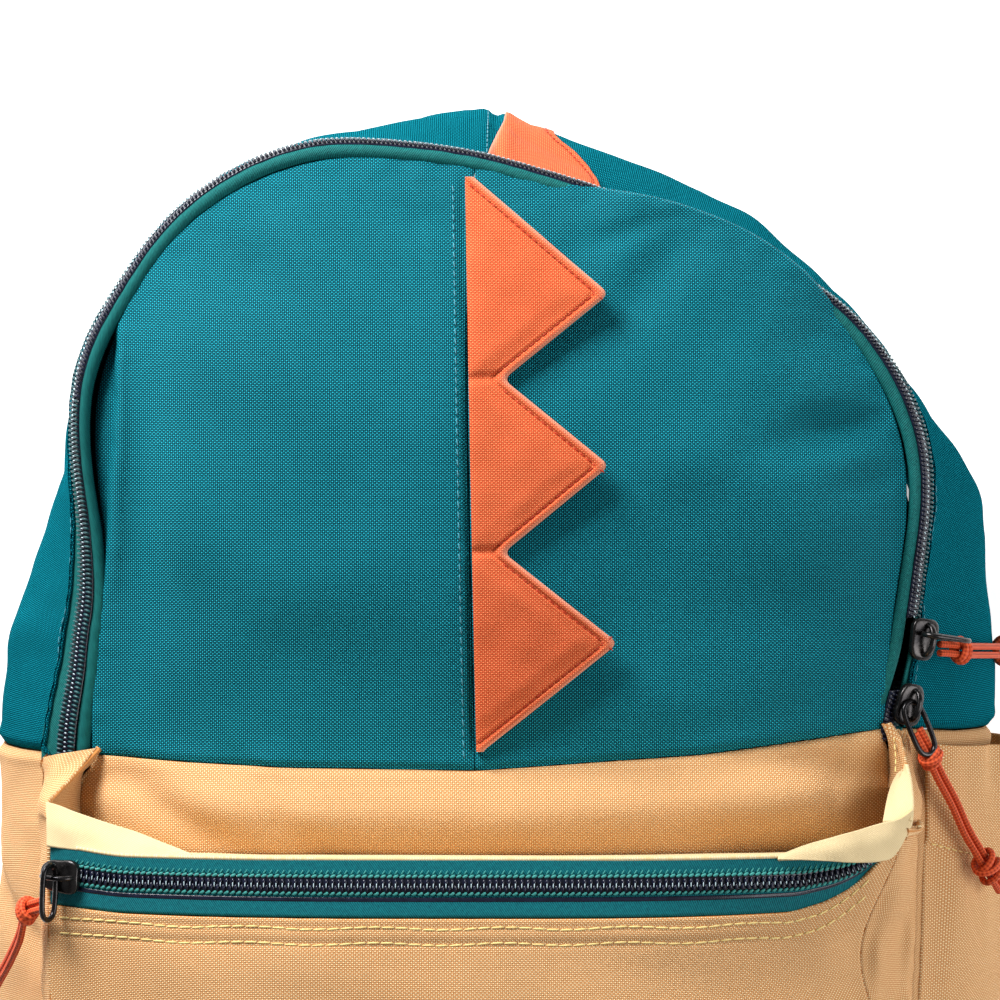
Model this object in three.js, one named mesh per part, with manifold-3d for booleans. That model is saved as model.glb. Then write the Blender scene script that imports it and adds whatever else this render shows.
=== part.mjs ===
// Kids' animal backpack lying on its back. Millimetres, +Z up, +Y toward the top of the bag, the
// front of the bag upward. The body is drawn in polar form about the point where its seams cross.
import * as THREE from 'three';
import { mergeVertices } from 'three/addons/utils/BufferGeometryUtils.js';
import initManifold from 'manifold-3d';

const wasm = await initManifold();
wasm.setup();
const { Manifold } = wasm;

// Body sizes
const REACH = 190;
const DROP = 178;
const BELLY_DROP = 183;
const CROSS_X = -10.4;
const CROSS_Y = -4.5;
const EDGE_Z = 102;
const RIM_Z = 112.5;
const CROWN_Z = 139.5;
const FLOOR_SHARE = 0.93;
const CORNER_POWER = 4;
const CLOTH = 2;
const GAP = 0.3;

// Distance of the zip and of the widest line from the seam crossing, as shares of REACH, every
// 15 degrees from the right side over the top to the left side
const ZIP_SHARES = [0.628, 0.692, 0.788, 0.862, 0.885, 0.881, 0.906, 0.949, 0.922, 0.829, 0.678, 0.611, 0.613];
const BELLY_SHARES = [0.818, 0.845, 0.901, 0.907, 0.935, 0.963, 1.013, 0.992, 0.941, 0.858, 0.775, 0.759, 0.761];

// Main dents of the front: place, depth, half length, half width, direction in degrees
const DENTS = [
  { x: 48.6, y: 143.5, depth: 5, along: 26, across: 7, turn: 55 },
  { x: 100.6, y: 89.5, depth: 4, along: 26, across: 7, turn: 18 },
  { x: -107.4, y: 59.5, depth: 6, along: 52, across: 9, turn: 88 },
];

// Front pocket sizes
const POCKET_TOP = -27.9;
const POCKET_BOTTOM = -181;
const POCKET_MID_Z = 158;
const POCKET_BULGE = 9;
const POCKET_EDGE_Z = 140;
const POCKET_TAPE = 4.6;
const POCKET_COIL = 5.6;

// Zip hardware sizes
const SLIDER = { length: 12, width: 9.8, top: 1.7, plate: 1.3, bottom: -0.75, wall: 0.9 };
const BRIDGE = { length: 8.4, width: 1.8, tunnel: 5.2, low: 1.7, high: 3.9, top: 4.9 };
const PULL = { length: 15, width: 7.5, wire: 1.2 };
const CORD_DIAMETER = 2;
const STRAND = 1.25;

const LOOKS = {
  teal: { color: 0x2c8496, roughness: 0.8, metalness: 0 },
  tan: { color: 0xe9c08a, roughness: 0.85, metalness: 0 },
  orange: { color: 0xf0744a, roughness: 0.8, metalness: 0 },
  tape: { color: 0x1c4a4c, roughness: 0.9, metalness: 0 },
  coil: { color: 0x14161f, roughness: 0.45, metalness: 0 },
  metal: { color: 0x2d2d31, roughness: 0.35, metalness: 0.9 },
  cord: { color: 0xe2582c, roughness: 0.7, metalness: 0 },
  mesh: { color: 0x24393d, roughness: 0.9, metalness: 0 },
  webbing: { color: 0x1d3a40, roughness: 0.85, metalness: 0 },
  plastic: { color: 0x16181a, roughness: 0.5, metalness: 0 },
};

const bag = new THREE.Group();
bag.name = 'kids_animal_backpack';

const rad = THREE.MathUtils.degToRad;
const lerp = THREE.MathUtils.lerp;
const smooth = THREE.MathUtils.smoothstep;
const vec = (x, y, z) => new THREE.Vector3(x, y, z);

function clean(geometry) {
  const bare = new THREE.BufferGeometry();
  bare.setAttribute('position', geometry.getAttribute('position').clone());
  if (geometry.index) bare.setIndex(geometry.index.clone());
  const merged = mergeVertices(bare, 1e-3);
  const kept = [];
  const index = merged.index.array;
  for (let i = 0; i < index.length; i += 3) {
    const [a, b, c] = [index[i], index[i + 1], index[i + 2]];
    if (a !== b && b !== c && c !== a) kept.push(a, b, c);
  }
  merged.setIndex(kept);
  return merged;
}

function add(name, geometry, look) {
  const mesh = new THREE.Mesh(clean(geometry), new THREE.MeshStandardMaterial(LOOKS[look]));
  mesh.name = name;
  bag.add(mesh);
  return mesh;
}

// Closed sheet over point(u, v): its skins lie `thick` apart, the given one outside unless `onto`,
// measured square to the sheet or along a given direction
function sheet(point, nu, nv, thick, { loop = false, onto = false, along = null } = {}) {
  const step = 0.004;
  const inside = (t) => Math.min(Math.max(t, 2 * step), 1 - 2 * step);
  const normalAt = (u, v) => {
    if (along) return along.clone();
    const a = inside(u);
    const b = inside(v);
    const du = point(a + step, b).sub(point(a - step, b));
    const dv = point(a, b + step).sub(point(a, b - step));
    return du.cross(dv).normalize();
  };
  const outer = [];
  const inner = [];
  for (let j = 0; j <= nv; j++) {
    const v = j / nv;
    const pole = point(0.3, v).distanceTo(point(0.7, v)) < 1e-6;
    const mean = vec(0, 0, 0);
    for (let k = 0; k < 8; k++) mean.add(normalAt((k + 0.5) / 8, v));
    mean.normalize();
    for (let i = 0; i <= nu; i++) {
      const u = loop && i === nu ? 0 : i / nu;
      const normal = pole ? mean : normalAt(u, v);
      const p = point(u, v);
      outer.push(onto ? p.clone().addScaledVector(normal, thick) : p);
      inner.push(onto ? p : p.clone().addScaledVector(normal, -thick));
    }
  }
  const cols = nu + 1;
  const half = cols * (nv + 1);
  const out = (i, j) => j * cols + i;
  const into = (i, j) => half + j * cols + i;
  const faces = [];
  const quad = (a, b, c, d) => faces.push(a, b, c, a, c, d);
  for (let j = 0; j < nv; j++) {
    for (let i = 0; i < nu; i++) {
      quad(out(i, j), out(i + 1, j), out(i + 1, j + 1), out(i, j + 1));
      quad(into(i, j), into(i, j + 1), into(i + 1, j + 1), into(i + 1, j));
    }
    if (!loop) {
      quad(out(0, j), out(0, j + 1), into(0, j + 1), into(0, j));
      quad(into(nu, j), into(nu, j + 1), out(nu, j + 1), out(nu, j));
    }
  }
  for (let i = 0; i < nu; i++) {
    quad(into(i, 0), into(i + 1, 0), out(i + 1, 0), out(i, 0));
    quad(out(i, nv), out(i + 1, nv), into(i + 1, nv), into(i, nv));
  }
  const geometry = new THREE.BufferGeometry();
  const flat = [...outer, ...inner].flatMap((p) => [p.x, p.y, p.z]);
  geometry.setAttribute('position', new THREE.Float32BufferAttribute(flat, 3));
  geometry.setIndex(faces);
  return geometry;
}

// Body outline: a smooth curve through the shares above the seams, a rounded square below them
function outline(shares, drop, degrees) {
  const angle = ((degrees % 360) + 360) % 360;
  if (angle <= 180) {
    const place = Math.min(angle / 15, 11.9999);
    const k = Math.floor(place);
    const t = place - k;
    const at = (i) => shares[Math.min(Math.max(i, 0), 12)];
    const [a, b, c, d] = [at(k - 1), at(k), at(k + 1), at(k + 2)];
    const bend = (2 * a - 5 * b + 4 * c - d) * t * t + (3 * b - a - 3 * c + d) * t * t * t;
    return REACH * (b + 0.5 * ((c - a) * t + bend));
  }
  const side = REACH * (angle > 270 ? shares[0] : shares[12]);
  const across = Math.abs(Math.cos(rad(angle)) / side) ** CORNER_POWER;
  const along = Math.abs(Math.sin(rad(angle)) / drop) ** CORNER_POWER;
  return (across + along) ** (-1 / CORNER_POWER);
}

const zipRadius = (degrees) => outline(ZIP_SHARES, DROP, degrees);

function bodyRadius(degrees, z) {
  const belly = outline(BELLY_SHARES, BELLY_DROP, degrees);
  const floor = FLOOR_SHARE * belly;
  const edge = zipRadius(degrees) + 8;
  const s = z / EDGE_Z;
  return floor * (1 - s) + edge * s + 4 * (belly - (floor + edge) / 2) * s * (1 - s);
}

function polar(degrees, radius, z) {
  return vec(CROSS_X + radius * Math.cos(rad(degrees)), CROSS_Y + radius * Math.sin(rad(degrees)), z);
}

// Front panels: one dome with dents, lower behind the pocket
const behind = (degrees) => smooth(degrees, 188, 196) * (1 - smooth(degrees, 344, 352));
const frontRadius = (degrees) => zipRadius(degrees) - 8 + 11 * behind(degrees);

function dentDepth(x, y) {
  let depth = 0;
  for (const dent of DENTS) {
    const turn = rad(dent.turn);
    const a = (x - dent.x) * Math.cos(turn) + (y - dent.y) * Math.sin(turn);
    const b = (y - dent.y) * Math.cos(turn) - (x - dent.x) * Math.sin(turn);
    depth += dent.depth * Math.exp(-((a / dent.along) ** 2) - (b / dent.across) ** 2);
  }
  return depth;
}

function frontPoint(degrees, share, shiftX, shiftY) {
  const angle = rad(degrees);
  const radius = share * frontRadius(degrees);
  const rim = RIM_Z - 8 * behind(degrees);
  const p = polar(degrees, radius, 0);
  const pressed = 10 * smooth(-p.y, 22, 62) * (1 - share ** 4);
  p.z = rim + (CROWN_Z - rim) * (1 - share ** 4) - pressed - dentDepth(p.x, p.y) * (1 - share ** 8);
  if (degrees < 180) p.x -= 3.4 * ((p.y - CROSS_Y) / 165) * Math.sin(angle) ** 2 * (1 - share ** 6);
  return p.add(vec(shiftX, shiftY, 0));
}

function frontHeight(x, y) {
  const degrees = (THREE.MathUtils.radToDeg(Math.atan2(y - CROSS_Y, x - CROSS_X)) + 360) % 360;
  const share = Math.hypot(x - CROSS_X, y - CROSS_Y) / frontRadius(degrees);
  return frontPoint(degrees, Math.min(share, 1), 0, 0).z;
}

// Body panels between the floor and the front edge
function bodyPanel(name, from, to, nu, nv, look) {
  const point = (u, v) => {
    const degrees = lerp(from, to, u);
    const z = EDGE_Z * v;
    return polar(degrees, bodyRadius(degrees, z), z);
  };
  add(name, sheet(point, nu, nv, CLOTH), look);
}
bodyPanel('gusset_top', 0.1, 179.9, 28, 5, 'teal');
bodyPanel('side_panel_left', 180.1, 232, 9, 5, 'tan');
bodyPanel('base_panel', 232.2, 307.8, 10, 5, 'tan');
bodyPanel('side_panel_right', 308, 359.9, 9, 5, 'tan');

// Padded back panel, held off the floor over the shoulder straps
const BACK_EDGE_Z = 1.5;
const BACK_RISE = 14;
const PADDING = 7;
const backShape = (share) => BACK_EDGE_Z + BACK_RISE * (1 - share ** 10);
const backRadius = (degrees) => bodyRadius(degrees, 0) - 2.75;
function backHeight(x, y) {
  const degrees = THREE.MathUtils.radToDeg(Math.atan2(y - CROSS_Y, x - CROSS_X));
  const share = Math.hypot(x - CROSS_X, y - CROSS_Y) / backRadius(degrees);
  return backShape(Math.min(share, 1));
}
add('back_panel', sheet((u, v) => {
  const degrees = 360 * u;
  const share = Math.sin(v * Math.PI / 2);
  return polar(degrees, share * backRadius(degrees), backShape(share));
}, 36, 8, PADDING, { loop: true, along: vec(0, 0, -1) }), 'mesh');

// Front panels above and below the cross seam
const frontPanel = (from, to, shiftX, shiftY) => (u, v) => {
  const share = Math.sin((1 - v) * Math.PI / 2);
  return frontPoint(lerp(from, to, u), share, shiftX, shiftY);
};
add('front_panel_right', sheet(frontPanel(0, 89.999, 0.25, 0.25), 14, 7, CLOTH), 'teal');
add('front_panel_left', sheet(frontPanel(90.001, 179.999, -0.25, 0.25), 14, 7, CLOTH), 'teal');
add('front_panel_lower', sheet(frontPanel(180.001, 359.999, 0, -0.25), 22, 5, CLOTH), 'tan');

// Main zip: strips round the opening, given by their offset from the zip line and their height
function zipStrip(name, from, to, n, outside, inside, thick, look) {
  const point = (u, v) => {
    const degrees = lerp(from, to, u);
    const offset = lerp(outside[0], inside[0], v);
    return polar(degrees, zipRadius(degrees) + offset, lerp(outside[1], inside[1], v));
  };
  add(name, sheet(point, n, 1, thick), look);
}
const SLIDER_UPPER = 16.4;
const SLIDER_LOWER = 5.5;
zipStrip('main_zip_tape_outer', -5, 185, 34, [7.7, 102.8], [3.6, 106.6], 0.9, 'tape');
zipStrip('main_zip_tape_inner', -5, 185, 34, [-4.7, 111.2], [-7.4, 112], 0.9, 'tape');
zipStrip('main_zip_coil', SLIDER_UPPER, 185, 34, [3.4, 108], [-2.9, 111.9], 2.4, 'coil');
zipStrip('main_zip_coil_end', -5, SLIDER_LOWER, 3, [3.4, 108], [-2.9, 111.9], 2.4, 'coil');

// Front pocket: its skin is a low dome whose side edges follow the bag's outline
function pocketPoint(across, y) {
  const t = (POCKET_TOP - y) / (POCKET_TOP - POCKET_BOTTOM);
  const narrow = (1 - Math.abs((y - CROSS_Y) / DROP) ** CORNER_POWER) ** (1 / CORNER_POWER);
  const reach = REACH * (across < 0 ? ZIP_SHARES[12] : ZIP_SHARES[0]) * narrow + 1;
  const edge = POCKET_EDGE_Z - 25 * t ** 3;
  const mid = POCKET_MID_Z + POCKET_BULGE * Math.sin(Math.PI * t) - 43 * t ** 4;
  const z = edge + (mid - edge) * (1 - Math.abs(across) ** 3.2);
  return vec(CROSS_X + across * reach, y, z);
}

function pocketStrip(name, low, high, from, to, nx, ny, thick, lift, look) {
  const point = (u, v) => {
    const p = pocketPoint(lerp(from, to, u), lerp(low, high, v));
    p.z += lift;
    return p;
  };
  add(name, sheet(point, nx, ny, thick), look);
}
const coilTop = POCKET_TOP - POCKET_TAPE - GAP;
const coilLow = coilTop - POCKET_COIL;
const tapeLow = coilLow - GAP - POCKET_TAPE;
pocketStrip('pocket_zip_tape_upper', POCKET_TOP - POCKET_TAPE, POCKET_TOP, -0.97, 0.97, 18, 1, 0.9, 0, 'tape');
pocketStrip('pocket_zip_coil', coilLow, coilTop, -0.94, 0.97, 18, 1, 2.4, 1, 'coil');
pocketStrip('pocket_zip_tape_lower', tapeLow, coilLow - GAP, -0.97, 0.97, 18, 1, 0.9, 0, 'tape');
pocketStrip('pocket_front', POCKET_BOTTOM, tapeLow - GAP, -0.985, 0.985, 16, 8, CLOTH, 0, 'tan');

// Pocket side wall, round the sides and the bottom of the pocket
add('pocket_gusset', sheet((u, v) => {
  const degrees = lerp(186 + 5 * v, 354 - 5 * v, u);
  const low = polar(degrees, zipRadius(degrees), 0);
  const t = Math.max(0, (POCKET_TOP - low.y) / (POCKET_TOP - POCKET_BOTTOM));
  const z = lerp(EDGE_Z + 0.8, POCKET_EDGE_Z - 0.6 - 25 * t ** 3, v);
  return polar(degrees, zipRadius(degrees) + lerp(7.9, 3.4, v) + 1.5 * Math.sin(Math.PI * v), z);
}, 26, 2, CLOTH), 'tan');

// Pocket top wall, from the front panel up to the zip tape
add('pocket_top', sheet((u, v) => {
  const across = lerp(0.955, -0.955, u);
  const top = pocketPoint(across, POCKET_TOP + GAP);
  const baseY = lerp(-29.9, -17, Math.abs(across) ** 4);
  const base = vec(top.x, baseY, 0);
  base.z = frontHeight(base.x, base.y) + 0.6;
  return base.lerp(top, v);
}, 20, 2, 1.2, { onto: true }), 'tan');

// Side pocket for a bottle on the right, standing off the side panel at its mouth
add('side_pocket', sheet((u, v) => {
  const degrees = lerp(-1.6, -51, v);
  const z = lerp(12, 97, u);
  const stand = 7.5 * Math.sin(Math.PI * u) ** 0.7 * (1 - v) ** 0.8;
  return polar(degrees, bodyRadius(degrees, z) + 0.8 + stand, z);
}, 8, 9, 1.6, { onto: true }), 'tan');

// Spikes: double cloth sewn into the centre seam, folded to the right
const SPIKE_EDGE = [
  [158.5, -11.4], [126.5, 25.6], [102.5, -3.4], [78.5, 25.6], [54.5, -3.4], [29.5, 27.6], [0.5, -8.4],
];
function spikeReach(y) {
  for (let i = 1; i < SPIKE_EDGE.length; i++) {
    const [y0, x0] = SPIKE_EDGE[i - 1];
    const [y1, x1] = SPIKE_EDGE[i];
    if (y >= y1) return lerp(x0, x1, (y0 - y) / (y0 - y1));
  }
  return SPIKE_EDGE[6][1];
}
add('spike_strip', sheet((u, v) => {
  const y = lerp(1, 157.5, v);
  const seam = CROSS_X - 3.4 * ((y - CROSS_Y) / 165) + 0.8;
  const x = lerp(seam, Math.max(spikeReach(y), seam + 1), u);
  const lift = 0.5 + 5 * ((x - seam) / 38) ** 0.8;
  return vec(x, y, frontHeight(x, y) + lift);
}, 3, 26, 1.6, { onto: true }), 'orange');
add('top_spike', sheet((u, v) => {
  const z = lerp(58, 101, v);
  const x = lerp(lerp(0.6, 27.6, v ** 0.7), -6.8, u);
  const degrees = THREE.MathUtils.radToDeg(Math.atan2(180, x - CROSS_X));
  return polar(degrees, bodyRadius(degrees, z) + 3 - 2.5 * u, z);
}, 3, 5, 1.6, { onto: true }), 'orange');

// Slider over the coil, with the bridge that holds its pull: travel on X, normal on Z
function box(size, centre) {
  const geometry = clean(new THREE.BoxGeometry(...size).translate(...centre));
  const vertProperties = geometry.getAttribute('position').array;
  const triVerts = Uint32Array.from(geometry.index.array);
  return new Manifold(new wasm.Mesh({ numProp: 3, vertProperties, triVerts }));
}

function toGeometry(solid) {
  const mesh = solid.getMesh();
  const geometry = new THREE.BufferGeometry();
  geometry.setAttribute('position', new THREE.Float32BufferAttribute(mesh.vertProperties, 3));
  geometry.setIndex(new THREE.Uint32BufferAttribute(mesh.triVerts, 1));
  return geometry;
}

function sliderGeometry() {
  const { length, width, top, plate, bottom, wall } = SLIDER;
  const block = box([length, width, top - bottom], [0, 0, (top + bottom) / 2]);
  const room = box([length + 2, width - 2 * wall, 4], [0, 0, top - plate - 2]);
  const high = box([BRIDGE.length, BRIDGE.width, BRIDGE.top - 1], [0, 0, (BRIDGE.top + 1) / 2]);
  const tall = BRIDGE.high - BRIDGE.low;
  const tunnel = box([BRIDGE.tunnel, 4, tall], [0, 0, BRIDGE.low + tall / 2]);
  return toGeometry(block.subtract(room).add(high).subtract(tunnel));
}

// Flat wire loop, one end at the origin and the other along X
function pullGeometry() {
  const { length, width, wire } = PULL;
  const round = (path, inset) => {
    const r = width / 2 - inset;
    path.absarc(width / 2, 0, r, Math.PI / 2, -Math.PI / 2, false);
    path.absarc(length - width / 2, 0, r, -Math.PI / 2, Math.PI / 2, false);
    return path;
  };
  const shape = round(new THREE.Shape(), 0);
  shape.holes.push(round(new THREE.Path(), wire));
  return new THREE.ExtrudeGeometry(shape, { depth: wire, bevelEnabled: false, curveSegments: 6 });
}

function zipFrame(degrees) {
  const at = (d) => polar(d, zipRadius(d) + 0.25, 109.95);
  const travel = at(degrees + 0.5).sub(at(degrees - 0.5)).normalize();
  const outward = vec(travel.y, -travel.x, 0);
  const normal = outward.clone().multiplyScalar(0.526).add(vec(0, 0, 0.85)).normalize();
  const across = normal.clone().cross(travel);
  return new THREE.Matrix4().makeBasis(travel, across, normal).setPosition(at(degrees));
}

function pocketFrame(across) {
  const y = (coilTop + coilLow) / 2;
  const at = (a) => pocketPoint(a, y).add(vec(0, 0, 1));
  const travel = at(across + 0.01).sub(at(across - 0.01)).normalize();
  const normal = travel.clone().cross(vec(0, 1, 0)).normalize();
  const side = normal.clone().cross(travel);
  return new THREE.Matrix4().makeBasis(travel, side, normal).setPosition(at(across));
}

function placePull(name, frame, place, turn, roll) {
  const local = new THREE.Matrix4().makeTranslation(...place);
  local.multiply(new THREE.Matrix4().makeRotationZ(rad(turn)));
  local.multiply(new THREE.Matrix4().makeRotationX(rad(roll)));
  local.multiply(new THREE.Matrix4().makeTranslation(0, 0, -PULL.wire / 2));
  add(name, pullGeometry(), 'metal').applyMatrix4(frame.clone().multiply(local));
}

const frames = {
  upper: zipFrame(SLIDER_UPPER - 1.5),
  lower: zipFrame(SLIDER_LOWER + 1.6),
  pocket: pocketFrame(-0.965),
};
for (const name of ['upper', 'lower', 'pocket']) {
  add(`slider_${name}`, sliderGeometry(), 'metal').applyMatrix4(frames[name]);
}
placePull('pull_ring_upper', frames.upper, [1.6, 3.6, 5.95], -90, 90);
placePull('pull_ring_lower', frames.lower, [0.6, 2, 2.8], 212, 0);
placePull('pull_ring_pocket', frames.pocket, [0, 3.6, 5.95], -90, 90);

// Doubled pull cords: the line between the two strands, and the way the strands lie beside it
const CORDS = {
  upper: {
    line: [[121.7, 26.7, 110.7], [125.4, 26.4, 107.6], [129.6, 25.7, 102.2], [134.2, 25.2, 92.4],
      [139.4, 24.7, 82], [144.8, 24.1, 70], [148.8, 23.5, 58], [150.2, 22.9, 47]],
    side: [0, 1, 0],
  },
  lower: {
    line: [[115.1, 3.5, 113.2], [118, -1.7, 112.6], [122.1, -9.5, 107.5], [127.1, -18, 102],
      [131.4, -26.5, 97], [135.4, -33, 94], [139.8, -39.5, 89.8], [143.6, -45, 84]],
    side: [-0.59, -0.55, 0.58],
  },
  pocket: {
    line: [[-128.8, -41.7, 145.8], [-134, -44.5, 139.6], [-137, -52.5, 132.5], [-141.4, -60.5, 123.5],
      [-146.6, -68.5, 113], [-151.4, -76.5, 101], [-154.9, -83.5, 90]],
    side: [-0.11, 0.83, -0.54],
  },
};

function tube(points, diameter, steps) {
  const shape = new THREE.Shape();
  for (let k = 0; k < 8; k++) {
    const angle = (k / 8) * 2 * Math.PI;
    const place = [(diameter / 2) * Math.cos(angle), (diameter / 2) * Math.sin(angle)];
    if (k === 0) shape.moveTo(...place);
    else shape.lineTo(...place);
  }
  const extrudePath = new THREE.CatmullRomCurve3(points);
  return new THREE.ExtrudeGeometry(shape, { steps, bevelEnabled: false, extrudePath });
}

// Knot: an oval band round both strands
function addKnot(name, curve, share, side, wide, high, depth) {
  const shape = new THREE.Shape();
  shape.absellipse(0, 0, wide, high, 0, 2 * Math.PI, false);
  const hole = new THREE.Path();
  hole.absellipse(0, 0, 2.9, 1.6, 0, 2 * Math.PI, true);
  shape.holes.push(hole);
  const along = curve.getTangentAt(share);
  const across = side.clone().addScaledVector(along, -side.dot(along)).normalize();
  const up = along.clone().cross(across);
  const frame = new THREE.Matrix4().makeBasis(across, up, along);
  frame.setPosition(curve.getPointAt(share).addScaledVector(along, -depth / 2));
  const band = new THREE.ExtrudeGeometry(shape, { depth, bevelEnabled: false, curveSegments: 8 });
  add(name, band, 'cord').applyMatrix4(frame);
}

for (const [name, cord] of Object.entries(CORDS)) {
  const line = cord.line.map((p) => vec(...p));
  const side = vec(...cord.side).normalize();
  const curve = new THREE.CatmullRomCurve3(line);
  for (const [letter, sign] of [['a', 1], ['b', -1]]) {
    const strand = line.map((p) => p.clone().addScaledVector(side, sign * STRAND));
    add(`pull_cord_${name}_${letter}`, tube(strand, CORD_DIAMETER, 14), 'cord');
  }
  const length = curve.getLength();
  addKnot(`pull_knot_${name}`, curve, 9 / length, side, 4.1, 2.8, 3.4);
  addKnot(`end_knot_${name}`, curve, 1 - 12 / length, side, 4.8, 3.9, 7);
}

// Shoulder straps, flat under the back panel: pad, ladder lock and webbing on each side
const PAD = { width: 48, thick: 8 };
const PAD_LINE = [[36, 115], [55, 82], [62, 28], [68, -28], [98, -136]];
const LOCK = { width: 34, length: 20, thick: 4, slot: 26 };
const WEBBING = { width: 24, thick: 1.8 };

// Webbing lying at a height, its far end rising to the back panel
function webbing(from, to, width, low, thick) {
  const along = to.clone().sub(from);
  const aside = vec(-along.y, along.x, 0).normalize().multiplyScalar(width / 2);
  const point = (u, v) => {
    const p = from.clone().lerp(to, v).addScaledVector(aside, 1 - 2 * u);
    p.z = lerp(low + thick, backHeight(p.x, p.y) - 0.9, smooth(v, 0.7, 1));
    return p;
  };
  return sheet(point, 2, 7, thick, { along: vec(0, 0, 1) });
}

function lockGeometry() {
  const { width, length, thick, slot } = LOCK;
  const frame = box([width, length, thick], [0, 0, 0]);
  const slots = [-1, 1].map((k) => box([slot, 3.6, 2 * thick], [0, (k * length) / 4, 0]));
  return toGeometry(frame.subtract(slots[0]).subtract(slots[1]));
}

for (const [name, sign] of [['left', -1], ['right', 1]]) {
  const line = new THREE.CatmullRomCurve3(PAD_LINE.map(([x, y]) => vec(sign * x, y, 0)));
  const last = (PAD_LINE.length - 2) / (PAD_LINE.length - 1);
  add(`shoulder_pad_${name}`, sheet((u, v) => {
    const along = line.getTangent(v * last);
    const aside = vec(-along.y, along.x, 0).multiplyScalar((PAD.width / 2) * (1 - 2 * u));
    const p = line.getPoint(v * last).add(aside);
    p.z = lerp(backHeight(p.x, p.y) - 0.9, PAD.thick, smooth(v, 0, 0.2));
    return p;
  }, 3, 10, PAD.thick, { along: vec(0, 0, 1) }), 'mesh');
  const end = line.getPoint(last);
  const down = line.getTangent(last);
  const lock = add(`strap_lock_${name}`, lockGeometry(), 'plastic');
  lock.position.copy(end).addScaledVector(down, LOCK.length / 2 + 0.5).setZ(2.4);
  lock.rotation.z = Math.atan2(down.y, down.x) + Math.PI / 2;
  const start = end.clone().addScaledVector(down, LOCK.length + 1.9);
  const corner = vec(sign * 94, -128, 0);
  add(`strap_webbing_${name}`, webbing(start, corner, WEBBING.width, 0.4, WEBBING.thick), 'webbing');
}

// Haul loop, folded flat under the top of the back panel
const loop = new THREE.Shape();
loop.moveTo(18, 159);
loop.lineTo(18, 129);
loop.absarc(0, 129, 18, 0, -Math.PI, true);
loop.lineTo(-18, 159);
loop.lineTo(-8, 159);
loop.lineTo(-8, 129);
loop.absarc(0, 129, 8, -Math.PI, 0, false);
loop.lineTo(8, 159);
const loopSteps = { depth: 2, bevelEnabled: false, curveSegments: 8 };
add('haul_loop', new THREE.ExtrudeGeometry(loop, loopSteps), 'webbing').position.z = 2;

export default bag;
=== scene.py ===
# %% [markdown]
# # A child's backpack with soft spikes, lying on its back
# The bag is two colours of woven cloth sewn round an arched zip, with a full-width front pocket. It could be
# sculpted by hand or draped by simulation. Here every panel is a surface worked out with numpy from the same
# sizes as the CAD part, because a seam then meets its neighbour exactly and each fold is one row in a table.

# %% Frame and sizes
import math
from itertools import accumulate

import bmesh
import bpy
import numpy as np
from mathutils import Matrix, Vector


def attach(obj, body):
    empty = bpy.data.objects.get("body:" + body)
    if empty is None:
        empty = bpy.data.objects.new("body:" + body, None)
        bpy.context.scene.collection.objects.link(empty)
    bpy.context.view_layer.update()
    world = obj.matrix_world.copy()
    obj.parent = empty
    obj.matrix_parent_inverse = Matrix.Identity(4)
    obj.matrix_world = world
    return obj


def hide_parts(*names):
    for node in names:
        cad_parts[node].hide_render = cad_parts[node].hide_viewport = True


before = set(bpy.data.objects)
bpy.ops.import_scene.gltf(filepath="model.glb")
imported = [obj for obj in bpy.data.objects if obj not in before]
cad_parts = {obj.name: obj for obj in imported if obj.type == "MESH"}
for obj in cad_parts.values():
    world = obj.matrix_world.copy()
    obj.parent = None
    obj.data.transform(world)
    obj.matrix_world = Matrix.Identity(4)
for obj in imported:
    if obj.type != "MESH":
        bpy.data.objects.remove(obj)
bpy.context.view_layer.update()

MM = 0.001
UP = np.array([0.0, 0.0, 1.0])
# Sizes in millimetres: the outline's reach and drops, the cross of the seams, the heights of the front
REACH, DROP, BELLY_DROP = 190.0, 178.0, 183.0
CROSS_X, CROSS_Y = -10.4, -4.5
EDGE_Z, RIM_Z, CROWN_Z = 102.0, 112.5, 139.5
FLOOR_SHARE, CORNER_POWER = 0.93, 4
SEAM_LEAN = 3.4 / 165
# Shares of the reach, one every 15 degrees from the right over the top to the left
ZIP_SHARES = np.array(
    [0.628, 0.692, 0.788, 0.862, 0.885, 0.881, 0.906, 0.949, 0.922, 0.829, 0.678, 0.611, 0.613]
)
BELLY_SHARES = np.array(
    [0.818, 0.845, 0.901, 0.907, 0.935, 0.963, 1.013, 0.992, 0.941, 0.858, 0.775, 0.759, 0.761]
)
print("nodes in the frame:", len(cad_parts))

# %% [markdown]
# The camera hangs straight above the bag with a long lens, so the outline hardly tapers. A tilted camera
# would show the side walls, which the picture doesn't, so this one looks straight down.

# %% Camera
lens = bpy.data.cameras.new("camera")
lens.sensor_width = 36.0
lens.angle = math.radians(18.0)
camera = bpy.data.objects.new("camera", lens)
camera.location = (-0.0034, 0.069, 1.010)
bpy.context.scene.collection.objects.link(camera)
bpy.context.scene.camera = camera
print("camera height:", camera.location.z)

# %% [markdown]
# Light comes from a pale room, a soft lamp at the upper left, which gives the spikes their shadow to the
# right, and a weaker one at the right. Bare bulbs would make hard shadows that a white studio doesn't
# have.


# %% Lights
def soft_lamp(name, place, size, watts):
    """A square area lamp that faces the middle of the bag."""
    lamp = bpy.data.lights.new(name, "AREA")
    lamp.size, lamp.energy = size, watts
    holder = bpy.data.objects.new(name, lamp)
    holder.location = place
    aim = Vector((0.0, 0.03, 0.1)) - Vector(place)
    holder.rotation_euler = aim.to_track_quat("-Z", "Y").to_euler()
    bpy.context.scene.collection.objects.link(holder)


soft_lamp("key_lamp", (-0.46, 0.72, 0.44), 0.4, 16.0)
soft_lamp("fill_lamp", (1.1, -0.1, 0.8), 0.9, 11.0)

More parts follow.
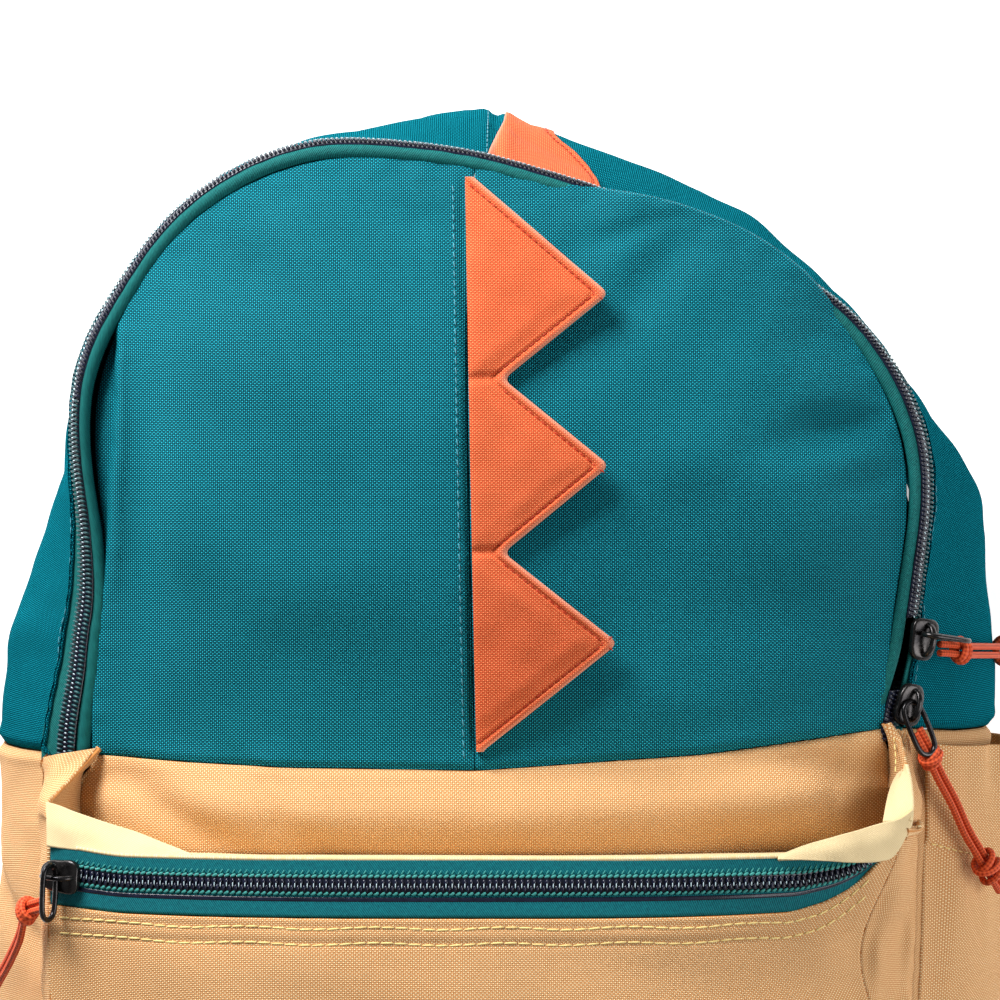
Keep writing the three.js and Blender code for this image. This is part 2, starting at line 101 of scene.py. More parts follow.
room = bpy.data.worlds.new("pale_room")
room.use_nodes = True
room.node_tree.nodes["Background"].inputs["Color"].default_value = (1.0, 1.0, 1.0, 1.0)
room.node_tree.nodes["Background"].inputs["Strength"].default_value = 0.2
bpy.context.scene.world = room
bpy.context.scene.view_settings.view_transform = "Standard"
print("lamps:", len(bpy.data.lights))

# %% [markdown]
# Shader maths reads best as plain arithmetic. One small class wraps a node's output and adds a Math node
# for each operation, and one method adds any other node. Wiring by hand is the other way, but it's hard
# to read.


# %% Shader helper
class Link:
    """An output of a shader node that takes part in arithmetic, one Math node for each operation."""

    def __init__(self, finish, output):
        self.finish, self.output = finish, output

    def math(self, operation, *terms):
        return self.finish.node("ShaderNodeMath", {"operation": operation}, dict(enumerate(terms)))

    def __add__(self, other):
        return self.math("ADD", self, other)

    def __radd__(self, other):
        return self.math("ADD", other, self)

    def __sub__(self, other):
        return self.math("SUBTRACT", self, other)

    def __rsub__(self, other):
        return self.math("SUBTRACT", other, self)

    def __mul__(self, other):
        return self.math("MULTIPLY", self, other)

    def __rmul__(self, other):
        return self.math("MULTIPLY", other, self)

    def __pow__(self, other):
        return self.math("POWER", self, other)

    def sine(self):
        return self.math("SINE", self)

    def least(self, other):
        return self.math("MINIMUM", self, other)

    def most(self, other):
        return self.math("MAXIMUM", self, other)

    def other(self, name):
        """Another output of the same node."""
        return Link(self.finish, self.output.node.outputs[name])


class Finish:
    """One material: node() adds a node and surface() wires the Principled shader."""

    def __init__(self, name):
        self.material = bpy.data.materials.new(name)
        self.material.use_nodes = True
        self.tree = self.material.node_tree
        self.tree.nodes.clear()

    def node(self, kind, settings=None, values=None, out=0):
        """Adds a node: its settings come first, then the values or links of its sockets."""
        added = self.tree.nodes.new(kind)
        for key, value in (settings or {}).items():
            setattr(added, key, value)
        for key, value in (values or {}).items():
            if isinstance(value, Link):
                self.tree.links.new(value.output, added.inputs[key])
            else:
                added.inputs[key].default_value = value
        return Link(self, added.outputs[out])

    def noise(self, vector, scale, detail=2.0):
        return self.node("ShaderNodeTexNoise", {}, {"Vector": vector, "Scale": scale, "Detail": detail})

    def mix(self, factor, first, second):
        """Blends two colours."""
        return self.node("ShaderNodeMix", {"data_type": "RGBA"}, {0: factor, 6: first, 7: second}, out=2)

    def stretch(self, vector, scale):
        """A vector times a scale for each of its axes."""
        return self.node("ShaderNodeVectorMath", {"operation": "MULTIPLY"}, {0: vector, 1: scale})

    def surface(self, colour, rough, height=None, depth=0.0, shine=0.5, metal=0.0):
        """The Principled shader with a colour, a roughness, and a height in metres for its bump."""
        shader = self.tree.nodes.new("ShaderNodeBsdfPrincipled")
        exit_node = self.tree.nodes.new("ShaderNodeOutputMaterial")
        self.tree.links.new(shader.outputs[0], exit_node.inputs[0])
        for key, value in (("Base Color", colour), ("Roughness", rough)):
            if isinstance(value, Link):
                self.tree.links.new(value.output, shader.inputs[key])
            else:
                shader.inputs[key].default_value = value
        shader.inputs["Specular IOR Level"].default_value = shine
        shader.inputs["Metallic"].default_value = metal
        if height is not None:
            bump = self.node("ShaderNodeBump", {}, {"Height": height, "Distance": depth, "Strength": 1.0})
            self.tree.links.new(bump.output, shader.inputs["Normal"])
        return self.material


def srgb(red, green, blue):
    """A colour given as seen on a screen, 0 to 255, as the shader's linear values."""
    seen = np.array([red, green, blue]) / 255.0
    linear = np.where(seen <= 0.04045, seen / 12.92, ((seen + 0.055) / 1.055) ** 2.4)
    return (*[float(value) for value in linear], 1.0)


print("shader helper ready")

# %% [markdown]
# The bag's cloth is a coarse plain weave: threads pass over and under one another about every half
# millimetre. A picture of cloth could be tiled over it, but two crossed sine waves give the same checker
# of thread tops and gaps at the true scale, and they follow each panel's own grain through its UV map in
# metres.


# %% Woven cloth
THREAD_PAIR = 0.00118


def woven_cloth(name, light, dark, relief, rough, pitch=THREAD_PAIR, edge_highlight=0.0, shine=0.04):
    """Plain weave: tops = sin(2 pi u / pitch) times sin(2 pi v / pitch), with a painted highlight at the tops
    and painted shade in the gaps.
    """
    cloth = Finish(name)
    place = cloth.node("ShaderNodeUVMap", {"uv_map": "Weave"})
    solid = cloth.node("ShaderNodeTexCoord", {}, out=3)
    split = cloth.node("ShaderNodeSeparateXYZ", {}, {0: place})
    u = split.other("X") + (cloth.noise(place, 160.0, 1.0) - 0.5) * (0.05 * pitch)
    v = split.other("Y") + (cloth.noise(place, 210.0, 1.0) - 0.5) * (0.05 * pitch)
    check = (u * (2.0 * math.pi / pitch)).sine() * (v * (2.0 * math.pi / (0.84 * pitch))).sine()
    weft = check.most(0.0)
    warp = (check * -1.0).most(0.0)
    tops = (weft + warp * 0.34) ** 1.05
    slub = cloth.noise(cloth.stretch(place, (110.0, 700.0, 1.0)), 1.0, 1.0)
    broad = cloth.noise(solid, 22.0, 3.0)
    shade = tops * 1.7 - 0.12 + (slub - 0.5) * 0.08 + (broad - 0.5) * 0.12
    # the colour runs from dark in the gaps to light on the thread tops: painted shade and painted highlight
    colour = cloth.mix(shade.most(0.0).least(1.0), dark, light)
    # the spikes' rolled edges are painted paler through the Edge layer: a painted highlight where the roll
    # meets the light
    if edge_highlight:
        edge = cloth.node("ShaderNodeAttribute", {"attribute_name": "Edge"}, out=2)
        pale = tuple(min(1.0, 0.35 + 0.8 * channel) for channel in light[:3]) + (1.0,)
        colour = cloth.mix(edge * edge_highlight, colour, pale)
    grain = rough + (slub - 0.5) * 0.12
    return cloth.surface(colour, grain, tops + slub * 0.2, relief, shine=shine)


teal_cloth = woven_cloth("teal_cloth", srgb(40, 186, 206), srgb(0, 30, 42), 0.00026, 0.5)
# the walls' cloth is the teal cloth made darker, as painted shade for walls that turn from the lamp; it is
# also rougher with no gloss
teal_cloth_shaded = woven_cloth("teal_cloth_shaded", srgb(26, 164, 184), srgb(0, 26, 36), 0.00026, 0.85, shine=0.0)
tan_cloth = woven_cloth("tan_cloth", srgb(255, 232, 184), srgb(196, 130, 72), 0.00024, 0.7)
# the orange cloth gets a painted highlight along the spikes' rolled edges
orange_cloth = woven_cloth("orange_cloth", srgb(255, 156, 104), srgb(190, 66, 34), 0.00024, 0.65, edge_highlight=0.35)
lining_cloth = woven_cloth("lining_cloth", srgb(240, 226, 190), srgb(226, 198, 146), 0.00008, 0.8,
                           pitch=0.0007)
mesh_cloth = woven_cloth("mesh_cloth", srgb(62, 92, 98), srgb(16, 32, 36), 0.0006, 0.8, pitch=0.0032)
print("cloths made:", len(bpy.data.materials))

# %% [markdown]
# The zip's tape is a close twill, and thread, cord and webbing have fine ribs or a braid. A picture
# would do, but each of these patterns is one sine wave or the product of two, at its true pitch along
# the piece.


# %% Tape, thread, cord and webbing
def twill_tape(name, light, dark):
    """Slanted ribs: a sine wave of u plus v, with a little noise."""
    tape = Finish(name)
    place = tape.node("ShaderNodeUVMap", {"uv_map": "Weave"})
    split = tape.node("ShaderNodeSeparateXYZ", {}, {0: place})
    rib = ((split.other("X") * 1.4 + split.other("Y")) * (2.0 * math.pi / 0.0009)).sine() * 0.5 + 0.5
    fleck = tape.noise(place, 900.0, 2.0)
    shade = rib * 0.55 + fleck * 0.6 - 0.1
    # the colour follows the ribs: painted highlight on their crests and painted shade between them
    colour = tape.mix(shade.most(0.0).least(1.0), dark, light)
    return tape.surface(colour, 0.72, rib + fleck, 0.0001, shine=0.15)


def thread_finish(name, light, dark):
    """Twisted sewing thread, seen as a soft sheen with fibres along it."""
    thread = Finish(name)
    solid = thread.node("ShaderNodeTexCoord", {}, out=3)
    fibre = thread.noise(solid, 2600.0, 2.0)
    return thread.surface(thread.mix(fibre, dark, light), 0.6, fibre, 0.00004, shine=0.25)


def braid_finish(name, light, dark, gap):
    """Braided cord: two families of strands cross at a slant, sin(a) times sin(b), with a painted highlight
    on the strands and painted shade between them.
    """
    braid = Finish(name)
    place = braid.node("ShaderNodeUVMap", {"uv_map": "Weave"})
    split = braid.node("ShaderNodeSeparateXYZ", {}, {0: place})
    along = split.other("X") * (2.0 * math.pi / 0.0021)
    round_it = split.other("Y") * (2.0 * math.pi / 0.0021)
    cross = (along + round_it).sine() * (along - round_it).sine()
    tops = (cross * 0.5 + 0.5) ** 0.5
    fibre = braid.noise(place, 1600.0, 2.0)
    shade = tops * 0.8 + fibre * 0.35 - 0.1
    colour = braid.mix(shade.most(0.0).least(1.0), dark, light)
    # the gap colour is painted shade in the grooves between the strands
    groove = braid.mix(1.0 - tops, colour, gap)
    return braid.surface(groove, 0.62, tops + fibre * 0.3, 0.00022, shine=0.2)


def ribbed_finish(name, light, dark, pitch):
    """Webbing: ribs across the strap, each a sine wave along it, broken by a wave across it."""
    ribs = Finish(name)
    place = ribs.node("ShaderNodeUVMap", {"uv_map": "Weave"})
    split = ribs.node("ShaderNodeSeparateXYZ", {}, {0: place})
    yarn = (split.other("X") * (2.0 * math.pi / 0.002)).sine()
    rib = (split.other("Y") * (2.0 * math.pi / pitch)).sine() * yarn
    fleck = ribs.noise(place, 700.0, 2.0)
    # lighter on the ribs and darker between them: painted highlight and painted shade
    shade = rib * 0.35 + 0.35 + fleck * 0.3
    return ribs.surface(ribs.mix(shade.least(1.0), dark, light), 0.7, rib + fleck * 0.3, 0.0003, shine=0.2)


green_tape = twill_tape("green_tape", srgb(30, 134, 128), srgb(0, 44, 54))
teal_tape = twill_tape("teal_tape", srgb(18, 128, 134), srgb(0, 62, 76))
# the white finish of the painted glints on the zip coils
glint_white = thread_finish("glint_white", srgb(236, 246, 250), srgb(150, 196, 206))
green_thread = thread_finish("green_thread", srgb(86, 178, 168), srgb(16, 104, 104))
teal_thread = thread_finish("teal_thread", srgb(96, 172, 188), srgb(30, 110, 128))
cream_thread = thread_finish("cream_thread", srgb(252, 232, 160), srgb(226, 192, 118))
rust_thread = thread_finish("rust_thread", srgb(196, 66, 34), srgb(140, 40, 22))
orange_cord = braid_finish("orange_cord", srgb(240, 106, 58), srgb(206, 66, 30), srgb(150, 40, 20))
strap_web = ribbed_finish("strap_web", srgb(38, 72, 80), srgb(12, 30, 36), 0.0016)
print("finishes made:", len(bpy.data.materials))

# %% [markdown]
# The coil is a hard nylon wire, the sliders are dark plated metal, and the locks are moulded. A plain
# colour would look like paint, so the colour and gloss of each wander a little, as handling leaves them.


# %% Nylon, metal and plastic
def hard_finish(name, colour, paler_tone, rough, metallic, scale, relief):
    """A smooth hard surface whose colour and gloss wander a little, with fine scuffs in its bump."""
    hard = Finish(name)
    solid = hard.node("ShaderNodeTexCoord", {}, out=3)
    wander = hard.noise(solid, scale, 4.0)
    scuff = hard.noise(solid, scale * 9.0, 3.0)
    shade = (wander - 0.35) * 1.6
    blend = hard.mix(shade.most(0.0).least(1.0), colour, paler_tone)
    return hard.surface(blend, rough + (scuff - 0.5) * 0.25, scuff, relief, metal=metallic)


green_bars = hard_finish("green_bars", srgb(10, 56, 62), srgb(30, 98, 100), 0.4, 0.0, 500.0, 0.00004)
nylon_coil = hard_finish("nylon_coil", srgb(12, 16, 36), srgb(30, 36, 62), 0.28, 0.0, 300.0, 0.00003)
dark_metal = hard_finish("dark_metal", srgb(34, 33, 35), srgb(92, 88, 86), 0.26, 0.9, 160.0, 0.00003)
black_plastic = hard_finish("black_plastic", srgb(22, 24, 26), srgb(40, 42, 44), 0.5, 0.0, 220.0, 0.0001)
floor_white = hard_finish("floor_white", srgb(250, 250, 249), srgb(252, 252, 252), 0.7, 0.0, 6.0, 0.0)
print("finishes made:", len(bpy.data.materials))

# %% [markdown]
# A piece is a grid of points worked out as whole arrays, turned into faces at once. Points are in
# millimetres, as in a sewing pattern, and the mesh is in metres. Solidify gives a panel its cloth
# thickness, which keeps both skins parallel; modelling two skins by hand could cross them in a tight
# fold.


# %% Mesh helpers
def grid_faces(rows, columns, around=False, closed=False):
    """Quads of a grid of points; around joins the last column to the first, closed the rows likewise."""
    last_row, last_column = rows if closed else rows - 1, columns if around else columns - 1
    i, j = np.meshgrid(np.arange(last_row), np.arange(last_column), indexing="ij")
    low, high, left, right = i * columns, (i + 1) % rows * columns, j, (j + 1) % columns
    quads = np.stack([low + left, low + right, high + right, high + left])
    return quads.reshape(4, -1).T


def end_faces(rows, sides):
    """The two many-sided faces that close a tube at its first and last ring."""
    ring = np.arange(sides)
    return np.array([ring[::-1], (rows - 1) * sides + ring])


def make_mesh(name, points, faces, finish, weave=None, edge=None):
    """A mesh object from points in millimetres and arrays of faces, with its UV map in metres."""
    mesh = bpy.data.meshes.new(name)
    corners = [face for part in faces for face in part.tolist()]
    mesh.from_pydata((points.reshape(-1, 3) * MM).tolist(), [], corners)
    if weave is not None:
        layer = mesh.uv_layers.new(name="Weave")
        corner = np.empty(len(mesh.loops), np.int32)
        mesh.loops.foreach_get("vertex_index", corner)
        layer.data.foreach_set("uv", (weave.reshape(-1, 2)[corner] * MM).astype(np.float32).ravel())
    if edge is not None:
        # the Edge layer marks where the cloth is painted paler, a painted highlight on a rolled edge
        paler_tone = mesh.attributes.new("Edge", "FLOAT", "POINT")
        paler_tone.data.foreach_set("value", edge.astype(np.float32).ravel())
    mesh.polygons.foreach_set("use_smooth", np.ones(len(mesh.polygons), bool))
    mesh.materials.append(finish)
    piece = bpy.data.objects.new(name, mesh)
    bpy.context.scene.collection.objects.link(piece)
    return piece


def face_values(mesh, key, width):
    """One property of every face, as rows of an array."""
    values = np.empty(len(mesh.polygons) * width, np.float32)
    mesh.polygons.foreach_get(key, values)
    return values.reshape(-1, width)


def tidy_mesh(piece, middle=None):
    """Merges points that meet, then turns all faces to the outside, or away from a middle point."""
    mesh = piece.data
    work = bmesh.new()
    work.from_mesh(mesh)
    bmesh.ops.remove_doubles(work, verts=work.verts, dist=2e-6)
    if middle is None:
        bmesh.ops.recalc_face_normals(work, faces=work.faces)
    work.to_mesh(mesh)
    work.free()
    if middle is not None:
        away = face_values(mesh, "center", 3) - np.array(middle) * MM
        if (away * face_values(mesh, "normal", 3) * face_values(mesh, "area", 1)).sum() < 0:
            mesh.flip_normals()


def settle(piece, nodes=()):
    """The piece rides with the bag and stands for its CAD nodes, which it hides."""
    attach(piece, "root")
    if nodes:
        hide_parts(*nodes)
    return piece


BAG_MIDDLE = (CROSS_X, 0.0, 60.0)


def cloth_panel(name, points, weave, finish, nodes=(), thick=1.3, middle=BAG_MIDDLE):
    """A panel of cloth: its outer skin is the grid, and its thickness goes inwards."""
    piece = make_mesh(name, points, [grid_faces(*points.shape[:2])], finish, weave)
    tidy_mesh(piece, middle)
    wall = piece.modifiers.new("cloth thickness", "SOLIDIFY")
    wall.thickness, wall.offset = thick * MM, -1.0
    return settle(piece, nodes)


print("mesh helpers ready")

# %% [markdown]
# Cloth has few straight lines. Its swells, creases and rolled edges are sums of a few soft shapes: a
# bell, a step with rounded ends, a quarter circle, a curve through chosen places. Sculpting would give
# such shapes by hand, but a formula keeps each fold where its row in a table puts it.


# %% Shape helpers
def grid(columns, rows):
    """u and v from 0 to 1 as two arrays of rows by columns."""
    return np.meshgrid(np.linspace(0, 1, columns), np.linspace(0, 1, rows))


def curve_through(points, count):
    """A Catmull-Rom curve through the first axis of an array of places, read at count places."""
    knots = np.concatenate([2 * points[:1] - points[1:2], points, 2 * points[-1:] - points[-2:-1]])
    t = np.linspace(0, len(points) - 1.0001, count)
    k = t.astype(int)
    f = (t - k).reshape(-1, *[1] * (points.ndim - 1))
    a, b, c, d = (knots[k + step] for step in range(4))
    return 0.5 * (2 * b + (c - a) * f + (2 * a - 5 * b + 4 * c - d) * f**2 + (3 * b - a - 3 * c + d) * f**3)


def arc_length(points, axis):
    """Distance travelled along one axis of a grid of points."""
    steps = np.linalg.norm(np.diff(points, axis=axis), axis=-1)
    return np.concatenate([np.zeros_like(np.take(steps, [0], axis)), np.cumsum(steps, axis)], axis)


def read_along(line, values, places):
    """Values that belong to the points of a line, read at distances along it."""
    run = arc_length(line, 0)
    return np.stack([np.interp(places, run, values[:, axis]) for axis in range(3)], 1)


def read_table(table, places, column=1):
    """A column of a table, read in straight lines between its rows."""
    return np.interp(places, table[:, 0], table[:, column])


def smooth_step(x, low, high):
    """0 below low and 1 above high, with t squared times (3 - 2 t) in between."""
    t = np.clip((x - low) / (high - low), 0, 1)
    return t * t * (3 - 2 * t)


def bell(distance, width):
    """exp(-(distance / width) squared): 1 in the middle, and close to 0 two widths away."""
    return np.exp(-((distance / width) ** 2))


def quarter_round(depth):
    """A quarter circle: 0 at an edge, 1 from depth 1 inwards."""
    return np.sqrt(np.clip(1 - (1 - np.clip(depth, 0, 1)) ** 2, 0, 1))


def blunt(wave, power):
    """A sine or cosine filled out towards a square: its size to a power, its sign kept."""
    return np.sign(wave) * np.abs(wave) ** power


def ripple(x, y, length, seed, waves=9):
    """Soft random swells: a sum of sine waves in seeded directions, about one length long each."""
    dice = np.random.default_rng(seed)
    total = np.zeros(np.broadcast(x, y).shape)
    turns, phases = dice.uniform(0, math.pi, waves), dice.uniform(0, 7, waves)
    for turn, phase, stretch in zip(turns, phases, dice.uniform(0.7, 1.6, waves)):
        along = x * math.cos(turn) + y * math.sin(turn)
        total += np.sin(along * 2 * math.pi / (length * stretch) + phase)
    return total / math.sqrt(waves) / 1.6


def folds(x, y, table):
    """Height of a table of folds. A fold runs from (x0, y0) to (x1, y1); across it the height is its depth
    times exp(-(distance / width) squared), fading past its ends. A negative depth is a valley."""
    total = np.zeros(np.broadcast(x, y).shape)
    for x0, y0, x1, y1, depth, width in table:
        dx, dy = x1 - x0, y1 - y0
        length = math.hypot(dx, dy)
        along = ((x - x0) * dx + (y - y0) * dy) / length
        aside = ((x - x0) * dy - (y - y0) * dx) / length
        past = np.maximum(0, np.maximum(-along, along - length))
        middle = 1 - 0.35 * np.abs(2 * np.clip(along / length, 0, 1) - 1)
        total += depth * middle * np.exp(-((aside / width) ** 2) - (past / (1.6 * width)) ** 2)
    return total


print("shape helpers ready")

# %% [markdown]
# The zip's pulls are doubled lengths of thin braided cord, looped through a wire ring, bound once, and
# knotted near the end. Each strand is a tube along the same route as in the CAD part. A curve object
# with a round bevel would do too, but a tube made in code carries a UV map that the braid follows.


# %% Cord helpers
def smooth_line(points, count):
    """A Catmull-Rom curve through points, as count points evenly spaced along it."""
    line = curve_through(points, 2000)
    return read_along(line, line, np.linspace(0, arc_length(line, 0)[-1], count))


def carry(up, direction):
    """Keeps a sideways direction square to the line as the line turns."""
    up = up - direction * up.dot(direction)
    return up / np.linalg.norm(up)


def frames_along(line, closed=False):
    """Two square directions at each point of a line, the first carried along it without a twist."""
    tangent = np.roll(line, -1, 0) - np.roll(line, 1, 0) if closed else np.gradient(line, axis=0)
    tangent /= np.linalg.norm(tangent, axis=1)[:, None]
    start = UP if abs(tangent[0, 2]) < 0.9 else np.array([1.0, 0.0, 0.0])
    first = np.array(list(accumulate(tangent, carry, initial=start))[1:])
    return first, np.cross(tangent, first)


def tube(name, line, radius, finish, sides=12, closed=False, squash=1.0):
    """A round tube: each ring is the centre plus radius times (cos a, sin a) in the frame of the line."""
    first, second = frames_along(line, closed)
    angle = np.linspace(0, 2 * math.pi, sides, endpoint=False)
    ring = first[:, None] * np.cos(angle)[:, None] * squash + second[:, None] * np.sin(angle)[:, None]
    points = (line[:, None] + radius * ring).reshape(-1, 3)
    run = arc_length(line, 0)
    weave = np.stack(np.broadcast_arrays(run[:, None], angle * radius), -1).reshape(-1, 2)
    faces = [grid_faces(len(line), sides, around=True, closed=closed)]
    if not closed:
        middle = len(points)
        points = np.vstack([points, line[:1], line[-1:]])
        weave = np.vstack([weave, weave[:1], weave[-1:]])
        k = np.arange(sides)
        last = middle - sides + k
        faces.append(np.stack([k, np.full(sides, middle), (k + 1) % sides], 1))
        faces.append(np.stack([last, np.roll(last, -1), np.full(sides, middle + 1)], 1))
    piece = make_mesh(name, points, faces, finish, weave)
    tidy_mesh(piece)
    return piece


print("cord helpers ready")

# %% [markdown]
# A pull is one length of cord folded double, so it shows as two strands side by side through two knots.
# Each strand's length is measured along its line and printed, and a knot is one closed line that winds
# three times round both. A knot could be tied by simulation, but at this size only its windings can be seen.


# %% Pull cords and knots
# The cord's radius, half the distance between strands, and the points that a route is read at
CORD_RADIUS, STRAND, STATIONS = 1.0, 1.25, 29
CORD_ROUTES = {
    "upper": ([[121.7, 26.7, 110.7], [125.4, 26.4, 107.6], [129.6, 25.7, 102.2], [134.2, 25.2, 92.4],
               [139.4, 24.7, 82], [144.8, 24.1, 70], [148.8, 23.5, 58], [150.2, 22.9, 47]], [0, 1, 0]),
    "lower": ([[115.1, 3.5, 113.2], [118, -1.7, 112.6], [122.1, -9.5, 107.5], [127.1, -18, 102],
               [131.4, -26.5, 97], [135.4, -33, 94], [139.8, -39.5, 89.8], [143.6, -45, 84]],
              [-0.59, -0.55, 0.58]),
    "pocket": ([[-128.8, -41.7, 145.8], [-134, -44.5, 139.6], [-137, -52.5, 132.5], [-141.4, -60.5, 123.5],
                [-146.6, -68.5, 113], [-151.4, -76.5, 101], [-154.9, -83.5, 90]], [-0.11, 0.83, -0.54]),
}


def knot(name, centre, along, aside, length, width):
    """A bound knot: a line that winds three times round the strands while it moves along them and back."""
    up = np.cross(along, aside)
    t = np.linspace(0, 2 * math.pi, 120, endpoint=False)[:, None]
    swell = 1 + 0.16 * np.sin(t)
    line = centre + along * (length / 2 - 1.0) * np.cos(t)
    line = line + aside * np.cos(3 * t) * swell * (width / 2 - 1.0)
    line = line + up * np.sin(3 * t) * swell * (width / 2 - 1.7)
    return tube(name, line, 0.98, orange_cord, 10, closed=True)


for route, (points, side) in CORD_ROUTES.items():
    points, side = np.array(points, float), np.array(side) / np.linalg.norm(side)
    centre = smooth_line(points, STATIONS)
    length = arc_length(centre, 0)[-1]
    for title, place, size in (("pull", 9.0, (5.0, 7.6)), ("end", length - 12.0, (8.2, 8.8))):
        n = int(round(place / length * (STATIONS - 1)))
        along = centre[min(n + 1, STATIONS - 1)] - centre[n - 1]
        along /= np.linalg.norm(along)
        tied = knot(f"{title}_knot_detail_{route}", centre[n], along, carry(side, along), *size)
        settle(tied, [f"{title}_knot_{route}"])
    for letter, sign in (("a", 1), ("b", -1)):
        line = smooth_line(points + side * sign * STRAND, STATIONS)
        strand = tube(f"cord_{route}_{letter}", smooth_line(line, 90), CORD_RADIUS, orange_cord, 12)
        settle(strand, [f"pull_cord_{route}_{letter}"])
        strand_length = arc_length(line, 0)[-1]
        line[0] * MM
        (line * MM).tolist()
        print("cord", route, letter, round(strand_length, 1), "mm")

# %% [markdown]
# The body is drawn in polar form about the point where the seams of the front cross: a smooth curve
# through thirteen shares over the top, and a rounded square below. These are the CAD part's own
# formulas, so each dressed panel lies on its solid. Tracing the outline again by eye would drift from
# it.


# %% Body shape
def outline(shares, drop, degrees):
    """Catmull-Rom through the shares above the cross seam, a fourth-power rounded square below it."""
    angle = np.mod(np.asarray(degrees, float), 360)
    place = np.clip(angle / 15, 0, 11.9999)
    k = place.astype(int)
    t = place - k
    a, b, c, d = (shares[np.clip(k + step, 0, 12)] for step in (-1, 0, 1, 2))
    bend = (c - a) * t + (2 * a - 5 * b + 4 * c - d) * t**2 + (3 * b - a - 3 * c + d) * t**3
    upper = REACH * (b + 0.5 * bend)
    side = REACH * np.where(angle > 270, shares[0], shares[12])
    across = np.abs(np.cos(np.radians(angle)) / side) ** CORNER_POWER
    along = np.abs(np.sin(np.radians(angle)) / drop) ** CORNER_POWER
    return np.where(angle <= 180, upper, (across + along) ** (-1 / CORNER_POWER))


def zip_radius(degrees):
    """Distance from the cross of the seams to the middle of the main zip."""
    return outline(ZIP_SHARES, DROP, degrees)


def body_radius(degrees, z):
    """A parabola in height from the floor line over the belly to the zip's edge."""
    belly = outline(BELLY_SHARES, BELLY_DROP, degrees)
    floor, edge = FLOOR_SHARE * belly, zip_radius(degrees) + 8
    s = z / EDGE_Z
    return floor * (1 - s) + edge * s + 4 * (belly - (floor + edge) / 2) * s * (1 - s)


# How far the cross seam is drawn up: x, rise
SEAM_PULL = np.array([[-160, 0.5], [-118, 1.2], [-60, -1.0], [-10, -1.7], [52, 2.4], [106, 8.6], [130, 6.0],
                      [160, 5.0]])


def pull_seam(points):
    """Draws the cross seam a few millimetres up or down, as the full pocket does, fading away from it."""
    x, y = points[..., 0], points[..., 1]
    moved = points.copy()
    moved[..., 1] += read_table(SEAM_PULL, x) * bell(y - CROSS_Y, 42)
    return moved


def polar(degrees, radius, z):
    """A place given by its direction and distance from the cross of the seams, and its height."""
    angle = np.radians(degrees)
    x, y = CROSS_X + radius * np.cos(angle), CROSS_Y + radius * np.sin(angle)
    return pull_seam(np.stack(np.broadcast_arrays(x, y, z), -1))


print("zip radius over the top:", round(float(zip_radius(90.0)), 1), "mm")

# %% [markdown]
# The zip isn't flat round the bag: it lies face up at the left, stands nearly on edge over the top, and
# slips under a swelling panel at the upper right. Each row of a table holds its tilt and shifts at one
# direction, read smoothly in between. A strip bent by hand would need the same choices, but couldn't be
# read back.


# %% Zip section
# Columns: degrees, tilt of the coil, shift of its centre, edge of the front panel, hem of the wall
ZIP_SECTION = np.array([
    [-6, 25, -1.5, -3.4, 5.5], [1, 34, -1.8, -3.8, 5.0], [5, 40, -2.0, -6.0, 4.8],
    [11, 46, -2.4, -8.4, 4.6], [18, 47, -3.4, -10.8, 4.6],
    [24, 46, -4.0, -11.2, 4.6], [29, 50, -1.9, -9.6, 4.4], [34, 52, 0.6, -7.4, 4.4],
    [39, 58, 0.7, -6.5, 4.0],
    [45, 66, -0.3, -6.3, 3.4], [49, 72, -0.6, -5.4, 2.8], [54, 76, -2.0, -2.0, 2.2],
    [60, 79, -3.2, -0.9, 2.0],
    [67, 80, -3.6, -0.6, 1.8], [72, 80, -3.4, -0.7, 1.8], [78, 80, -2.4, -3.0, 1.8],
    [84, 80, -1.8, -5.0, 1.8],
    [91, 80, 0.0, -4.8, 1.8], [99, 78, -0.6, -5.8, 2.0], [107, 76, 1.0, -5.4, 2.4],
    [114, 73, 1.2, -4.9, 2.7],
    [119, 70, 0.9, -4.9, 3.0], [127, 66, -0.7, -6.2, 3.4], [133, 60, 1.1, -6.6, 3.8],
    [139, 57, 0.9, -7.0, 4.5],
    [144, 50, 0.6, -7.0, 5.5], [150, 44, -0.3, -7.2, 6.4], [157, 32, -0.8, -6.0, 6.6],
    [164, 34, 0.9, -4.8, 6.6],
    [171, 25, 0.6, -5.6, 6.8], [179, 12, 0.0, -8.8, 6.8], [186, 12, 0.0, -8.8, 6.8],
])


def section(degrees, column):
    """One column of the zip's section, read smoothly between the rows of the table."""
    degrees = np.asarray(degrees, float)
    degrees = np.where(degrees > 270, degrees - 360, degrees)
    return sum(read_table(ZIP_SECTION, degrees + d, column) for d in (-2.0, 0.0, 2.0)) / 3


ZIP_EDGE_Z, ZIP_HALF = 112.3, 2.8


def coil_height(tilt):
    """Height of the middle of the coil: its upper edge stays level, so a tilt lowers the middle."""
    return ZIP_EDGE_Z - ZIP_HALF * np.sin(tilt)


def zip_point(degrees, across, above=0.0):
    """A place on the tilted plane of the coil: across it outwards, and above its surface."""
    tilt = np.radians(section(degrees, 1))
    offset = section(degrees, 2) + across * np.cos(tilt) + above * np.sin(tilt)
    z = coil_height(tilt) - across * np.sin(tilt) + above * np.cos(tilt)
    return polar(degrees, zip_radius(degrees) + offset, z)


def over_zip(degrees):
    """1 where the front panel at the upper right swells over the zip, 0 elsewhere."""
    return smooth_step(degrees, 50, 57) * (1 - smooth_step(degrees, 73, 80))


print("rows of the zip section:", len(ZIP_SECTION))

# %% [markdown]
# The side wall of the bag is one long strip of cloth. It bellies out with what is inside, gathers where
# it is sewn to the zip, and is pinched at its seams. A lathe or loft would be too even, so small folds
# are added square to the wall, strongest near the zip where the thread pulls.


# %% Side wall shape
GUSSET_SEAM, MM_PER_DEGREE = 88.2, 2.6
